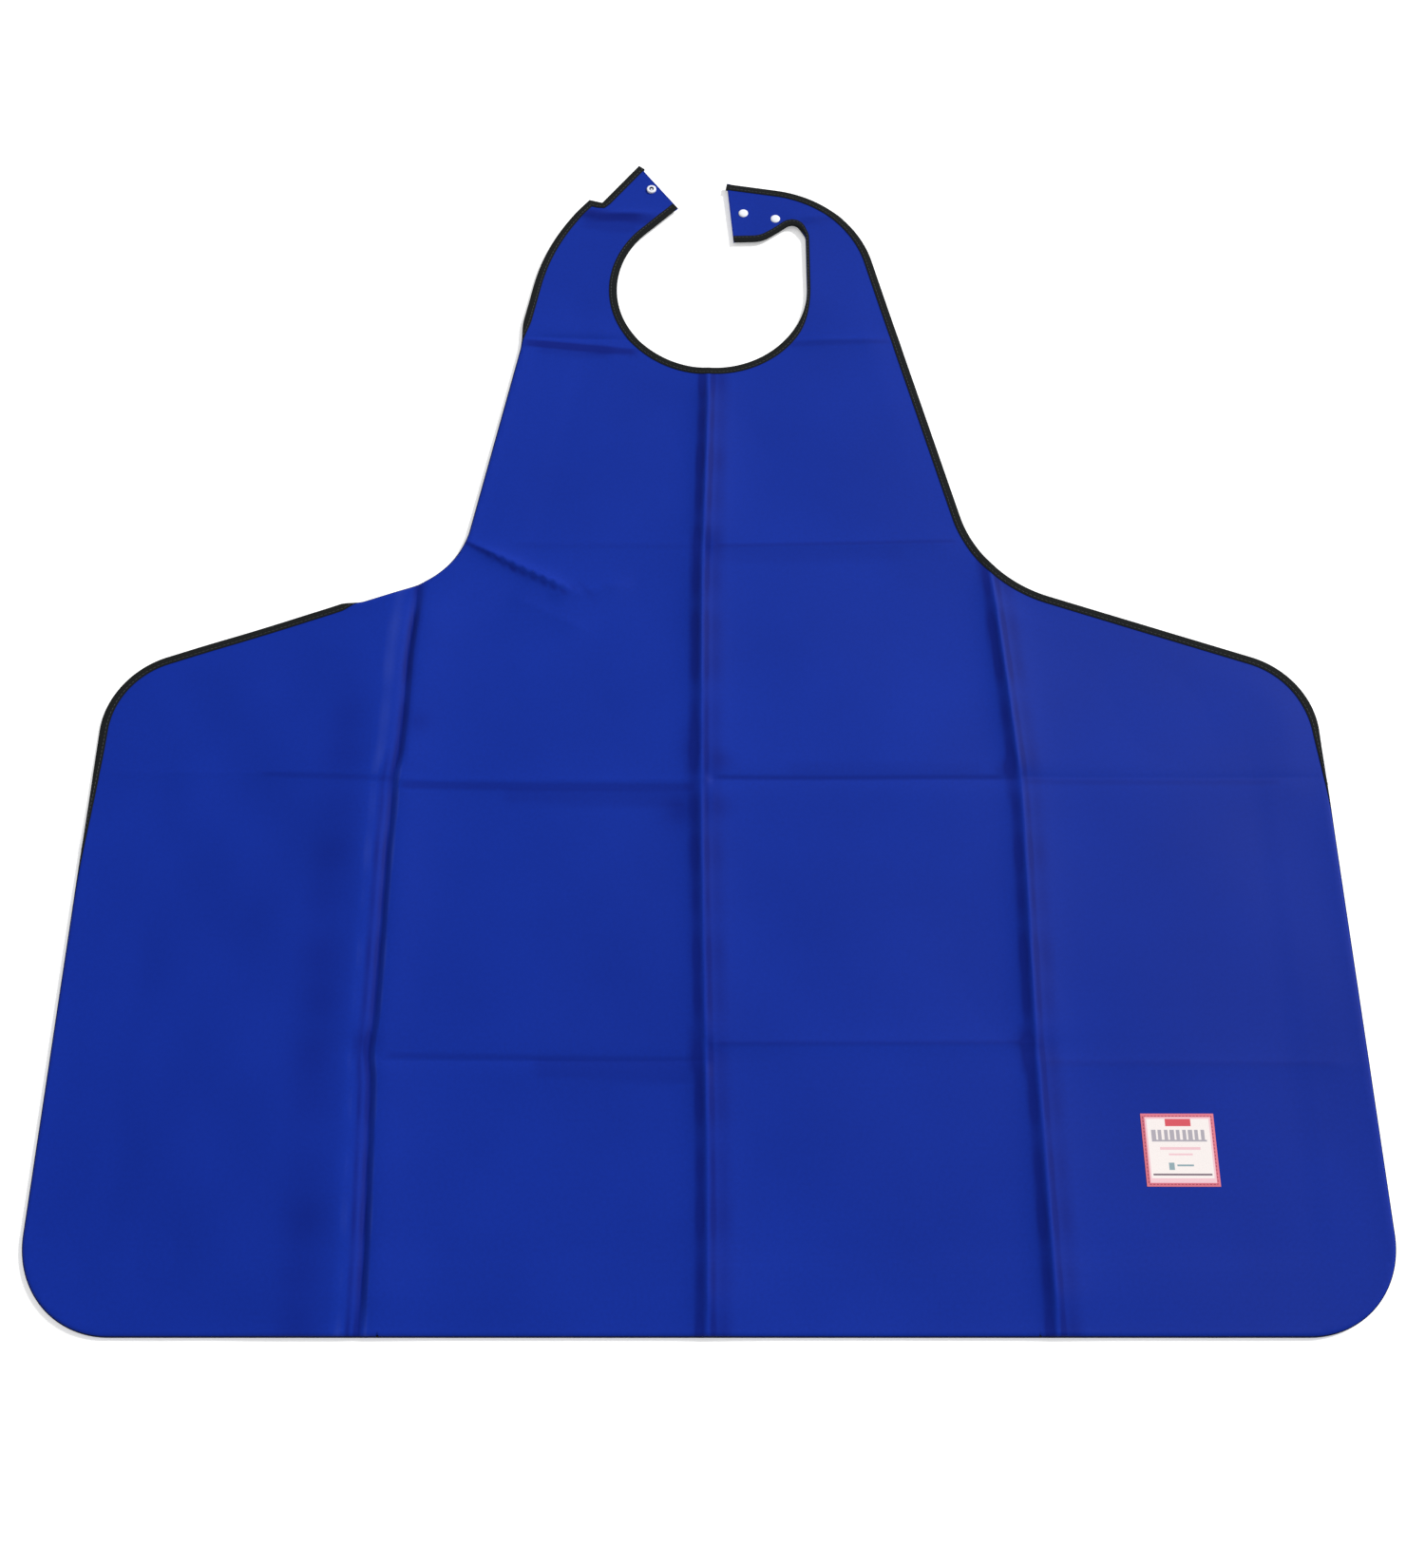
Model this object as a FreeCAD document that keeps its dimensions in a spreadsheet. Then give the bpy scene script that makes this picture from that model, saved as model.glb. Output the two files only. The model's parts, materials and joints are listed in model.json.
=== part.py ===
"""Bib-style welding apron lying flat, face up. Millimetres, +Z up, neck towards +Y.

The cloth is one cut sheet. It bends only at its creases, so each flat stretch between creases is a panel of
its own, and so is each stretch of the tape that binds its edge. Every panel is cut from the same sheet.
"""
import os
import math

import FreeCAD, Part
import Sketcher
from FreeCAD import Placement, Rotation, Vector

doc = FreeCAD.newDocument("apron")

# ---------------------------------------------------------------- driving dimensions
SIZES = [
    ("overall_width", 914.4),
    ("overall_length", 965.2),
    ("cloth_thickness", 0.8),
    ("tape_thickness", 0.4),
    ("binding_width", 7.0),
    ("body_gap", 0.3),
    ("corner_radius", 65.0),
    # wing tops slope down from the armholes to the sides
    ("wing_slope", 0.3475),
    ("wing_top_y", -4.9),
    # armhole corners, where the wing top meets the bib edge
    ("right_armhole_x", 211.5),
    ("right_armhole_radius", 100.0),
    ("left_armhole_x", 199.5),
    ("left_armhole_radius", 65.0),
    # shoulders, where the bib edge turns into the neck strap
    ("right_shoulder_x", 121.5),
    ("right_shoulder_y", 445.4),
    ("right_shoulder_radius", 100.0),
    ("left_shoulder_x", 139.4),
    ("left_shoulder_y", 403.6),
    ("left_shoulder_radius", 185.0),
    # neck opening
    ("neck_x", 1.8),
    ("neck_y", 353.9),
    ("neck_radius", 79.8),
    # where the round of the neck runs straight into the left strap, from +X about the neck's centre
    ("neck_left_angle", 131.3),
    # the bump and the dip of the neck's edge under the right strap's end, measured from the end's low corner
    ("bump_start_rise", 6.0),
    ("bump_inset", 9.5),
    ("bump_rise", 20.5),
    ("bump_radius", 8.0),
    ("dip_run", 24.0),
    ("dip_radius", 22.0),
    # ends of the two neck straps
    ("right_end_x", 14.7),
    ("right_end_top_y", 463.2),
    ("right_end_bottom_x", 20.3),
    ("right_end_bottom_y", 401.1),
    ("left_end_x", -61.8),
    ("left_end_bottom_x", -27.3),
    ("left_end_bottom_y", 437.0),
    # the notch beside the left strap's end, measured from the end's tip
    ("notch_inner_run", 30.8),
    ("notch_inner_drop", 39.3),
    ("notch_outer_run", 41.8),
    ("notch_outer_drop", 36.3),
    # creases that work as hinges
    ("wing_crease_x", 230.0),
    ("bib_crease_y", 107.3),
    ("strap_crease_y", 300.9),
    ("strap_lift_angle", 0.9),
    # press studs
    ("snap_diameter", 8.0),
    ("snap_cap_height", 1.2),
    ("shank_diameter", 1.8),
    ("shank_play", 0.1),
    ("socket_height", 1.6),
    ("socket_mouth_diameter", 3.8),
    ("stud_base_height", 0.8),
    ("stud_head_diameter", 3.6),
    ("stud_head_height", 1.4),
    ("left_snap_x", -50.3),
    ("left_snap_y", 456.7),
    ("right_snap_1_x", 28.7),
    ("right_snap_1_y", 431.5),
    ("right_snap_2_x", 56.1),
    ("right_snap_2_y", 425.6),
    # label on the right wing
    ("label_width", 50.0),
    ("label_length", 49.0),
    ("label_thickness", 0.3),
    ("label_corner_radius", 1.0),
    ("label_x", 320.0),
    ("label_y", -361.6),
]

sheet = doc.addObject("Spreadsheet::Sheet", "Sizes")
for row, (alias, value) in enumerate(SIZES, start=1):
    sheet.set(f"A{row}", alias)
    sheet.set(f"B{row}", str(value))
    sheet.setAlias(f"B{row}", alias)
doc.recompute()


def size(alias):
    return float(getattr(sheet, alias))


def bind(thing, **expressions):
    """Bind properties to the sheet. A double underscore stands for the dot of a placement's component."""
    for name, expression in expressions.items():
        thing.setExpression(name.replace("__", "."), expression)


FACE_TOP = "(Sizes.tape_thickness + Sizes.cloth_thickness)"
EDGE_HEIGHT = "(2 * Sizes.tape_thickness + Sizes.cloth_thickness)"
BEYOND = 600.0
CARRY_ON = 25.0
TALL = 20.0
UNDER = -5.0


# ---------------------------------------------------------------- outlines
def rounded_corner(before, corner, after, radius):
    """The arc that rounds a corner, as its two tangent points and its middle."""
    to_before = (before - corner).normalize()
    to_after = (after - corner).normalize()
    half_angle = to_before.getAngle(to_after) / 2
    reach = radius / math.tan(half_angle)
    middle_line = (to_before + to_after).normalize()
    middle = corner + middle_line * (radius / math.sin(half_angle) - radius)
    return corner + to_before * reach, middle, corner + to_after * reach


def outline_face(corners):
    """A flat face from a closed list of (x, y, radius) corners."""
    points = [Vector(x, y, 0) for x, y, radius in corners]
    edges = []
    pen = None
    first = None
    for i, (x, y, radius) in enumerate(corners):
        before, corner, after = points[i - 1], points[i], points[(i + 1) % len(points)]
        start = finish = corner
        if radius:
            start, middle, finish = rounded_corner(before, corner, after, radius)
        if pen is None:
            first = start
        elif (start - pen).Length > 1e-6:
            edges.append(Part.LineSegment(pen, start).toShape())
        if radius:
            edges.append(Part.Arc(start, middle, finish).toShape())
        pen = finish
    edges.append(Part.LineSegment(pen, first).toShape())
    return Part.Face(Part.Wire(edges))


def wing_top_at(x):
    """Height of the sloping wing top at distance x from the centreline."""
    return size("wing_top_y") + size("wing_slope") * (size("overall_width") / 2 - x)


def carried_on(start, end):
    """The point a little past the end of a straight edge."""
    return end + (end - start).normalize() * CARRY_ON


def outer_corners():
    """The outer edge, carried on past the strap ends until it closes over the neck."""
    side = size("overall_width") / 2
    hem = -size("overall_length") / 2
    tip = size("overall_length") / 2
    corner_radius = size("corner_radius")
    right_shoulder = Vector(size("right_shoulder_x"), size("right_shoulder_y"), 0)
    right_end_top = Vector(size("right_end_x"), size("right_end_top_y"), 0)
    left_tip = Vector(size("left_end_x"), tip, 0)
    notch = left_tip - Vector(size("notch_inner_run"), size("notch_inner_drop"), 0)
    past_right = carried_on(right_shoulder, right_end_top)
    past_left = carried_on(notch, left_tip)
    return [
        (side, hem, corner_radius),
        (side, size("wing_top_y"), corner_radius),
        (size("right_armhole_x"), wing_top_at(size("right_armhole_x")), size("right_armhole_radius")),
        (right_shoulder.x, right_shoulder.y, size("right_shoulder_radius")),
        (past_right.x, past_right.y, 0),
        (past_left.x, past_left.y, 0),
        (notch.x, notch.y, 0),
        (left_tip.x - size("notch_outer_run"), left_tip.y - size("notch_outer_drop"), 0),
        (-size("left_shoulder_x"), size("left_shoulder_y"), size("left_shoulder_radius")),
        (-size("left_armhole_x"), wing_top_at(size("left_armhole_x")), size("left_armhole_radius")),
        (-side, size("wing_top_y"), corner_radius),
        (-side, hem, corner_radius),
    ]


def neck_face():
    """The neck opening, carried on upwards between the strap ends."""
    centre = Vector(size("neck_x"), size("neck_y"), 0)
    radius = size("neck_radius")
    right_side = centre + Vector(radius, 0, 0)
    bottom = centre - Vector(0, radius, 0)
    meet_angle = math.radians(size("neck_left_angle"))
    left_meet = centre + Vector(math.cos(meet_angle), math.sin(meet_angle), 0) * radius
    strap_end = Vector(size("left_end_bottom_x"), size("left_end_bottom_y"), 0)
    gap_left = carried_on(left_meet, strap_end)
    gap_top_y = size("overall_length") / 2 + 2 * CARRY_ON
    gap_right_x = size("right_end_bottom_x") - CARRY_ON
    end_bottom_y = size("right_end_bottom_y")
    bound = Part.Arc(left_meet, bottom, right_side).toShape()
    corners = [
        (right_side.x, right_side.y, 0),
        (right_side.x, end_bottom_y + size("bump_start_rise"), 0),
        (right_side.x - size("bump_inset"), end_bottom_y + size("bump_rise"), size("bump_radius")),
        (size("right_end_bottom_x") + size("dip_run"), end_bottom_y, size("dip_radius")),
        (gap_right_x, end_bottom_y, 0),
        (gap_right_x, gap_top_y, 0),
        (gap_left.x, gap_top_y, 0),
        (gap_left.x, gap_left.y, 0),
        (left_meet.x, left_meet.y, 0),
    ]
    upper = outline_face(corners)
    lower = Part.Face(Part.Wire([bound, Part.LineSegment(right_side, left_meet).toShape()]))
    joined = upper.fuse(lower).removeSplitter()
    return joined.Faces[0]


def flat_outline(name, face):
    outline = doc.addObject("Part::Feature", name)
    outline.Shape = face
    return outline


outer_outline = flat_outline("OuterOutline", outline_face(outer_corners()))
neck_outline = flat_outline("NeckOutline", neck_face())


def offset_outline(name, outline, expression):
    """The outline grown or shrunk by an amount from the sheet."""
    grown = doc.addObject("Part::Offset2D", name)
    grown.Source = outline
    grown.Mode = "Skin"
    grown.Join = "Intersection"
    bind(grown, Value=expression)
    return grown


def slab(name, outline, bottom, height):
    """The outline raised into a plate between two heights from the sheet."""
    plate = doc.addObject("Part::Extrusion", name)
    plate.Base = outline
    plate.Dir = Vector(0, 0, 1)
    plate.DirMode = "Custom"
    plate.Solid = True
    bind(plate, LengthFwd=height, Placement__Base__z=bottom)
    return plate


def cut(name, base, tool):
    piece = doc.addObject("Part::Cut", name)
    piece.Base = base
    piece.Tool = tool
    return piece


def common(name, base, tool):
    piece = doc.addObject("Part::Common", name)
    piece.Base = base
    piece.Tool = tool
    return piece


# ---------------------------------------------------------------- the whole sheet and its tapes
cloth_outer = slab("ClothOuter", offset_outline("ClothOuterEdge", outer_outline, "-Sizes.tape_thickness"),
                   "Sizes.tape_thickness", "Sizes.cloth_thickness")
cloth_neck = slab("ClothNeck", offset_outline("ClothNeckEdge", neck_outline, "Sizes.tape_thickness"),
                  "Sizes.tape_thickness", "Sizes.cloth_thickness")
cloth_sheet = cut("ClothSheet", cloth_outer, cloth_neck)

outer_block = slab("OuterBlock", outer_outline, "0", EDGE_HEIGHT)
outer_core = slab("OuterCore", offset_outline("OuterCoreEdge", outer_outline, "-Sizes.binding_width"),
                  "0", EDGE_HEIGHT)
outer_band = cut("OuterBand", outer_block, outer_core)
outer_tape = cut("OuterTape", outer_band, cloth_outer)

neck_block = slab("NeckBlock", offset_outline("NeckBlockEdge", neck_outline, "Sizes.binding_width"),
                  "0", EDGE_HEIGHT)
neck_core = slab("NeckCore", neck_outline, "0", EDGE_HEIGHT)
neck_band = cut("NeckBand", neck_block, neck_core)
neck_cloth_edge = offset_outline("NeckClothBlankEdge", neck_outline, "2 * Sizes.binding_width")
neck_cloth_blank = slab("NeckClothBlank", neck_cloth_edge, "Sizes.tape_thickness", "Sizes.cloth_thickness")
neck_cloth = cut("NeckCloth", neck_cloth_blank, cloth_neck)
neck_tape = cut("NeckTape", neck_band, neck_cloth)


# ---------------------------------------------------------------- regions between creases
def region(name, low_x, high_x, low_y, high_y):
    """A tall box that picks out one stretch of the sheet."""
    box = doc.addObject("Part::Box", name)
    bind(box, Length=f"({high_x}) - ({low_x})", Width=f"({high_y}) - ({low_y})", Height=str(TALL),
         Placement__Base__x=low_x, Placement__Base__y=low_y, Placement__Base__z=str(UNDER))
    return box


HALF_GAP = "Sizes.body_gap / 2"
FAR = str(BEYOND)
BETWEEN_STRAPS = "-8"
WING_INNER = f"(Sizes.wing_crease_x + {HALF_GAP})"
SKIRT_SIDE = f"(Sizes.wing_crease_x - {HALF_GAP})"
SKIRT_TOP = f"(Sizes.bib_crease_y - {HALF_GAP})"
BIB_BOTTOM = f"(Sizes.bib_crease_y + {HALF_GAP})"
BIB_TOP = f"(Sizes.strap_crease_y - {HALF_GAP})"
STRAP_BOTTOM = f"(Sizes.strap_crease_y + {HALF_GAP})"


def strap_region(name, low_x, high_x, end_outer, end_inner):
    """The strap's region, cut off square along the line of the strap's end."""
    box = region(name + "Box", low_x, high_x, STRAP_BOTTOM, FAR)
    line = end_inner - end_outer
    beyond = doc.addObject("Part::Box", name + "Beyond")
    beyond.Length = 4 * line.Length
    beyond.Width = BEYOND
    beyond.Height = TALL
    angle = math.degrees(math.atan2(line.y, line.x))
    start = end_outer - line * 1.5
    beyond.Placement = Placement(Vector(start.x, start.y, UNDER), Rotation(Vector(0, 0, 1), angle))
    return cut(name, box, beyond)


left_end = (Vector(size("left_end_x"), size("overall_length") / 2, 0),
            Vector(size("left_end_bottom_x"), size("left_end_bottom_y"), 0))
right_end = (Vector(size("right_end_x"), size("right_end_top_y"), 0),
             Vector(size("right_end_bottom_x"), size("right_end_bottom_y"), 0))

skirt_region = region("SkirtRegion", f"-{SKIRT_SIDE}", SKIRT_SIDE, f"-{FAR}", SKIRT_TOP)
left_wing_region = region("LeftWingRegion", f"-{FAR}", f"-{WING_INNER}", f"-{FAR}", FAR)
right_wing_region = region("RightWingRegion", WING_INNER, FAR, f"-{FAR}", FAR)
bib_region = region("BibRegion", f"-{FAR}", FAR, BIB_BOTTOM, BIB_TOP)
left_strap_region = strap_region("LeftStrapRegion", f"-{FAR}", BETWEEN_STRAPS, left_end[0], left_end[1])
right_strap_region = strap_region("RightStrapRegion", BETWEEN_STRAPS, FAR, right_end[1], right_end[0])

hem_region = region("HemRegion", f"-{SKIRT_SIDE}", SKIRT_SIDE, f"-{FAR}", "0")
left_armhole_region = region("LeftArmholeRegion", f"-{SKIRT_SIDE}", "0", "0", SKIRT_TOP)
right_armhole_region = region("RightArmholeRegion", "0", SKIRT_SIDE, "0", SKIRT_TOP)
left_bib_region = region("LeftBibRegion", f"-{FAR}", "0", BIB_BOTTOM, BIB_TOP)
right_bib_region = region("RightBibRegion", "0", FAR, BIB_BOTTOM, BIB_TOP)

nodes = []


def node(thing, label):
    thing.Label = label
    nodes.append(thing)
    return thing


# ---------------------------------------------------------------- cloth panels
def snap_holes():
    """Holes through the straps for the shanks of the press studs."""
    drills = []
    for snap in ("left_snap", "right_snap_1", "right_snap_2"):
        drill = doc.addObject("Part::Cylinder", f"drill_{snap}")
        bind(drill, Radius="Sizes.shank_diameter / 2 + Sizes.shank_play", Height=str(TALL),
             Placement__Base__z=str(UNDER),
             Placement__Base__x=f"Sizes.{snap}_x", Placement__Base__y=f"Sizes.{snap}_y")
        drills.append(drill)
    holes = doc.addObject("Part::MultiFuse", "SnapHoles")
    holes.Shapes = drills
    return holes


pierced_sheet = cut("PiercedSheet", cloth_sheet, snap_holes())
PANELS = [
    ("skirt_centre_panel", skirt_region),
    ("left_wing_panel", left_wing_region),
    ("right_wing_panel", right_wing_region),
    ("bib_panel", bib_region),
    ("left_strap_panel", left_strap_region),
    ("right_strap_panel", right_strap_region),
]
for label, place in PANELS:
    node(common(label, pierced_sheet, place), label)

# ---------------------------------------------------------------- binding tape
OUTER_TAPES = [
    ("hem_binding", hem_region),
    ("left_armhole_binding", left_armhole_region),
    ("right_armhole_binding", right_armhole_region),
    ("left_wing_binding", left_wing_region),
    ("right_wing_binding", right_wing_region),
    ("left_bib_binding", left_bib_region),
    ("right_bib_binding", right_bib_region),
    ("left_strap_binding", left_strap_region),
    ("right_strap_binding", right_strap_region),
]
NECK_TAPES = [
    ("neck_binding_front", bib_region),
    ("neck_binding_left", left_strap_region),
    ("neck_binding_right", right_strap_region),
]
for label, place in OUTER_TAPES:
    node(common(label, outer_tape, place), label)
for label, place in NECK_TAPES:
    node(common(label, neck_tape, place), label)


# ---------------------------------------------------------------- press studs
def origin_plane(body, role):
    return [f for f in body.Origin.OriginFeatures if f.Role == role][0]


def turned_piece(label, profile, place_x, place_y, place_z):
    """A piece turned about Z from a closed profile of (radius, height) expressions."""
    body = doc.addObject("PartDesign::Body", label)
    sketch = body.newObject("Sketcher::SketchObject", label + "_profile")
    sketch.AttachmentSupport = [(origin_plane(body, "XZ_Plane"), "")]
    sketch.MapMode = "FlatFace"
    count = len(profile)
    # the corners start out on a circle, in order, and the constraints bring them to their places
    angles = [2 * math.pi * i / count for i in range(count)]
    guesses = [Vector(1.0 + 3.0 * math.cos(a), 3.0 * math.sin(a), 0) for a in angles]
    for i in range(count):
        sketch.addGeometry(Part.LineSegment(guesses[i], guesses[(i + 1) % count]), False)
    for i in range(count):
        sketch.addConstraint(Sketcher.Constraint("Coincident", i, 2, (i + 1) % count, 1))
    for i, (radius, height) in enumerate(profile):
        across = sketch.addConstraint(Sketcher.Constraint("DistanceX", -1, 1, i, 1, guesses[i].x))
        along = sketch.addConstraint(Sketcher.Constraint("DistanceY", -1, 1, i, 1, guesses[i].y))
        sketch.setExpression(f"Constraints[{across}]", radius)
        sketch.setExpression(f"Constraints[{along}]", height)
    doc.recompute()
    turned = body.newObject("PartDesign::Revolution", label + "_turned")
    turned.Profile = sketch
    turned.ReferenceAxis = (sketch, ["V_Axis"])
    turned.Angle = 360.0
    body.Tip = turned
    bind(body, Placement__Base__x=place_x, Placement__Base__y=place_y, Placement__Base__z=place_z)
    return node(body, label)


RIM = "Sizes.snap_diameter / 2"
SHANK = "Sizes.shank_diameter / 2"
THROUGH = "Sizes.cloth_thickness"
# the dome's profile, as shares of the cap's height and radius
RIM_RISE = 0.35
SHOULDER_RISE = 0.8
SHOULDER_REACH = 0.8
CROWN_REACH = 0.45


def snap_cap(label, snap, face_up):
    """A domed cap whose shank goes through the cloth into the piece on the other side."""
    up = "" if face_up else "-"
    down = "-" if face_up else ""
    grip = f"{down}({THROUGH} + Sizes.stud_base_height)"
    profile = [
        ("0", grip),
        (SHANK, grip),
        (SHANK, "0"),
        (RIM, "0"),
        (RIM, f"{up}{RIM_RISE} * Sizes.snap_cap_height"),
        (f"{SHOULDER_REACH} * {RIM}", f"{up}{SHOULDER_RISE} * Sizes.snap_cap_height"),
        (f"{CROWN_REACH} * {RIM}", f"{up}Sizes.snap_cap_height"),
        ("0", f"{up}Sizes.snap_cap_height"),
    ]
    height = FACE_TOP if face_up else "Sizes.tape_thickness"
    turned_piece(label, profile, f"Sizes.{snap}_x", f"Sizes.{snap}_y", height)


def snap_stud(label, snap):
    """The ball-headed half, on the back of the strap."""
    base = "-Sizes.stud_base_height"
    tip = "-(Sizes.stud_base_height + Sizes.stud_head_height)"
    profile = [
        (SHANK, "0"),
        (RIM, "0"),
        (RIM, base),
        ("0.4 * Sizes.stud_head_diameter", base),
        ("Sizes.stud_head_diameter / 2", f"({base} - 0.6 * Sizes.stud_head_height)"),
        ("0.4 * Sizes.stud_head_diameter", tip),
        ("0", tip),
        ("0", base),
        (SHANK, base),
    ]
    turned_piece(label, profile, f"Sizes.{snap}_x", f"Sizes.{snap}_y", "Sizes.tape_thickness")


def snap_socket(label, snap):
    """The ring-shaped half, on the face of the strap, open at the top."""
    floor = "Sizes.stud_base_height"
    mouth = "Sizes.socket_mouth_diameter / 2"
    profile = [
        (SHANK, "0"),
        (RIM, "0"),
        (RIM, "0.7 * Sizes.socket_height"),
        ("0.85 * " + RIM, "Sizes.socket_height"),
        (mouth, "Sizes.socket_height"),
        (mouth, floor),
        (SHANK, floor),
    ]
    turned_piece(label, profile, f"Sizes.{snap}_x", f"Sizes.{snap}_y", FACE_TOP)


snap_socket("left_snap_socket", "left_snap")
snap_cap("left_snap_cap", "left_snap", face_up=False)
for number in (1, 2):
    snap_cap(f"right_snap_cap_{number}", f"right_snap_{number}", face_up=True)
    snap_stud(f"right_snap_stud_{number}", f"right_snap_{number}")


# ---------------------------------------------------------------- label
def label_patch():
    """A thin square patch with softened corners, sewn flat on the right wing."""
    patch = doc.addObject("Part::Box", "LabelBlank")
    bind(patch, Length="Sizes.label_width", Width="Sizes.label_length", Height="Sizes.label_thickness",
         Placement__Base__x="Sizes.label_x - Sizes.label_width / 2",
         Placement__Base__y="Sizes.label_y - Sizes.label_length / 2", Placement__Base__z=FACE_TOP)
    doc.recompute()
    upright = [i for i, edge in enumerate(patch.Shape.Edges, start=1)
               if abs(edge.tangentAt(edge.FirstParameter).z) > 0.9]
    rounded = doc.addObject("Part::Fillet", "label_patch")
    rounded.Base = patch
    rounded.Edges = [(i, size("label_corner_radius"), size("label_corner_radius")) for i in upright]
    return node(rounded, "label_patch")


label_patch()
doc.recompute()


# ---------------------------------------------------------------- straps ride up over their press studs
STRAP_NODES = ("strap", "neck_binding_left", "neck_binding_right", "snap")
LIFT = "Sizes.strap_lift_angle * 1 deg"


def lift_straps():
    """Tip both straps about their crease, so that the halves under them clear the table."""
    for i, thing in enumerate(nodes):
        if any(word in thing.Label for word in STRAP_NODES):
            label = thing.Label
            thing.Label = label + "_flat"
            lifted = doc.addObject("Part::Compound", label + "_lifted")
            lifted.Links = [thing]
            lifted.Placement = Placement(Vector(), Rotation(Vector(1, 0, 0), 1.0))
            bind(lifted, Placement__Rotation__Angle=LIFT,
                 Placement__Base__y=f"Sizes.strap_crease_y * (1 - cos({LIFT}))",
                 Placement__Base__z=f"-Sizes.strap_crease_y * sin({LIFT})")
            lifted.Label = label
            nodes[i] = lifted


lift_straps()
doc.recompute()

# ---------------------------------------------------------------- check and write
for thing in doc.Objects:
    if "Invalid" in thing.State or "Error" in thing.State:
        raise RuntimeError(f"{thing.Label} failed: {thing.State}")
os.makedirs("parts", exist_ok=True)
for thing in nodes:
    shape = thing.Shape
    if shape.isNull() or not shape.isValid():
        raise RuntimeError(f"{thing.Label} has no valid shape")
    box = shape.BoundBox
    print(f"{thing.Label:24s} solids {len(shape.Solids)}  volume {shape.Volume:10.1f}  "
          f"x {box.XMin:8.2f} {box.XMax:8.2f}  y {box.YMin:8.2f} {box.YMax:8.2f}  "
          f"z {box.ZMin:6.2f} {box.ZMax:6.2f}")
    shape.exportStep(f"parts/{thing.Label}.step")
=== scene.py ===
"""The welding apron's looks: creased cloth, bound edges, stitching, press studs and a label.

The sheet is one height field over the flat pattern. Every cloth piece, tape, stitch and the label
reads its height from that one field, so neighbours meet exactly.
"""
import json
import math

import bpy
import numpy as np
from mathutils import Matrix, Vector, geometry


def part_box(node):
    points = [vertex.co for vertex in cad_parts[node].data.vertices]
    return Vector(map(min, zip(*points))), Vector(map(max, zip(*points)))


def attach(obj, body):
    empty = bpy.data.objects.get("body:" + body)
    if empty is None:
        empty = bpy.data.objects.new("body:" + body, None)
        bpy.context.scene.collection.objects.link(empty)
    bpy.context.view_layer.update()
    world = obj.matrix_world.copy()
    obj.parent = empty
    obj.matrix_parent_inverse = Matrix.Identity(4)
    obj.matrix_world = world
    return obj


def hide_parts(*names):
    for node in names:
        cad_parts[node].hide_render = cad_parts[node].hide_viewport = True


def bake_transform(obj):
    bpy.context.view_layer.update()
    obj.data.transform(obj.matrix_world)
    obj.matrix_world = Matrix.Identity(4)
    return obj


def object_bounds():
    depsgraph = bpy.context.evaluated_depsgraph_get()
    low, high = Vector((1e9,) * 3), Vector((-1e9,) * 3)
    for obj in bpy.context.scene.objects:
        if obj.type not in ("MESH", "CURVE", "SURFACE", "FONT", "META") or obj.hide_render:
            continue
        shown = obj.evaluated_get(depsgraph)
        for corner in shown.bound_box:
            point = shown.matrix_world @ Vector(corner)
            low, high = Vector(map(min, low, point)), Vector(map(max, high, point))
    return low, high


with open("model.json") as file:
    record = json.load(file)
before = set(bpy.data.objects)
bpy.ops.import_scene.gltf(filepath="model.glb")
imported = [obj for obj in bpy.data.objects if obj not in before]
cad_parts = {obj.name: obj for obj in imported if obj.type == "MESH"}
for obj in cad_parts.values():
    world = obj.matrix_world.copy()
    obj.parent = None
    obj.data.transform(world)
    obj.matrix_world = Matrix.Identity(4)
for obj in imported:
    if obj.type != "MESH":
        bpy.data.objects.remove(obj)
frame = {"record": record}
cad_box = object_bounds()
MM = 0.001

# -------------------- sizes (millimetres)
LOW, HIGH = [np.array(corner) / MM for corner in cad_box]
SIDE = HIGH[0]
HEM = LOW[1]
TIP = HIGH[1]
CLOTH = 0.8
TAPE = 0.4
TAPE_WIDTH = 6.6
CORNER_RADIUS = 65.0
WING_TOP_Y = -4.9
WING_SLOPE = 0.3475
BASE = TAPE + CLOTH / 2
JOINTS = {joint["name"]: joint for joint in frame["record"]["behaviour"]["joints"]}
WING_CREASE = JOINTS["right_wing_fold"]["pos_m"][0] / MM
BIB_CREASE = JOINTS["bib_fold"]["pos_m"][1] / MM
STRAP_CREASE = JOINTS["left_strap_fold"]["pos_m"][1] / MM
SKIRT_CREASES = (-91.3, -292.7)
CREASE_ROWS = (STRAP_CREASE, BIB_CREASE) + SKIRT_CREASES
STRAP_LIFT = math.tan(math.radians(0.9))
# a fold turns over these distances before and after its crease
WING_TURN = 14.0
BIB_TURN_IN = 8.0
BIB_TURN_OUT = 16.0
STRAP_TURN = 12.0

NECK_CENTRE = np.array([1.8, 353.9])
NECK_RADIUS = 79.8
# the direction from the neck's centre to the left end of its arc
NECK_ARC_END = (-0.66, 0.7513)
# the cut ends of the straps, each as its corner on the outer edge and its corner on the neck edge
LEFT_END = np.array([[-61.8, TIP], [-27.3, 437.0]])
RIGHT_END = np.array([[14.7, 463.2], [20.3, 401.1]])
# the two corners of the notch in the outer edge, measured back and down from the left strap's tip
NOTCH_INNER = np.array([30.8, 39.3])
NOTCH_OUTER = np.array([41.8, 36.3])
# the corners at the shoulders that the outer edge rounds off: x, y and radius
LEFT_SHOULDER = (-139.4, 403.6, 185.0)
RIGHT_SHOULDER = (121.5, 445.4, 100.0)
# the same at the armholes, where the edge meets the line of the wing top
LEFT_ARMHOLE_X = -199.5
LEFT_ARMHOLE_RADIUS = 65.0
RIGHT_ARMHOLE_X = 211.5
RIGHT_ARMHOLE_RADIUS = 100.0
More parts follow.
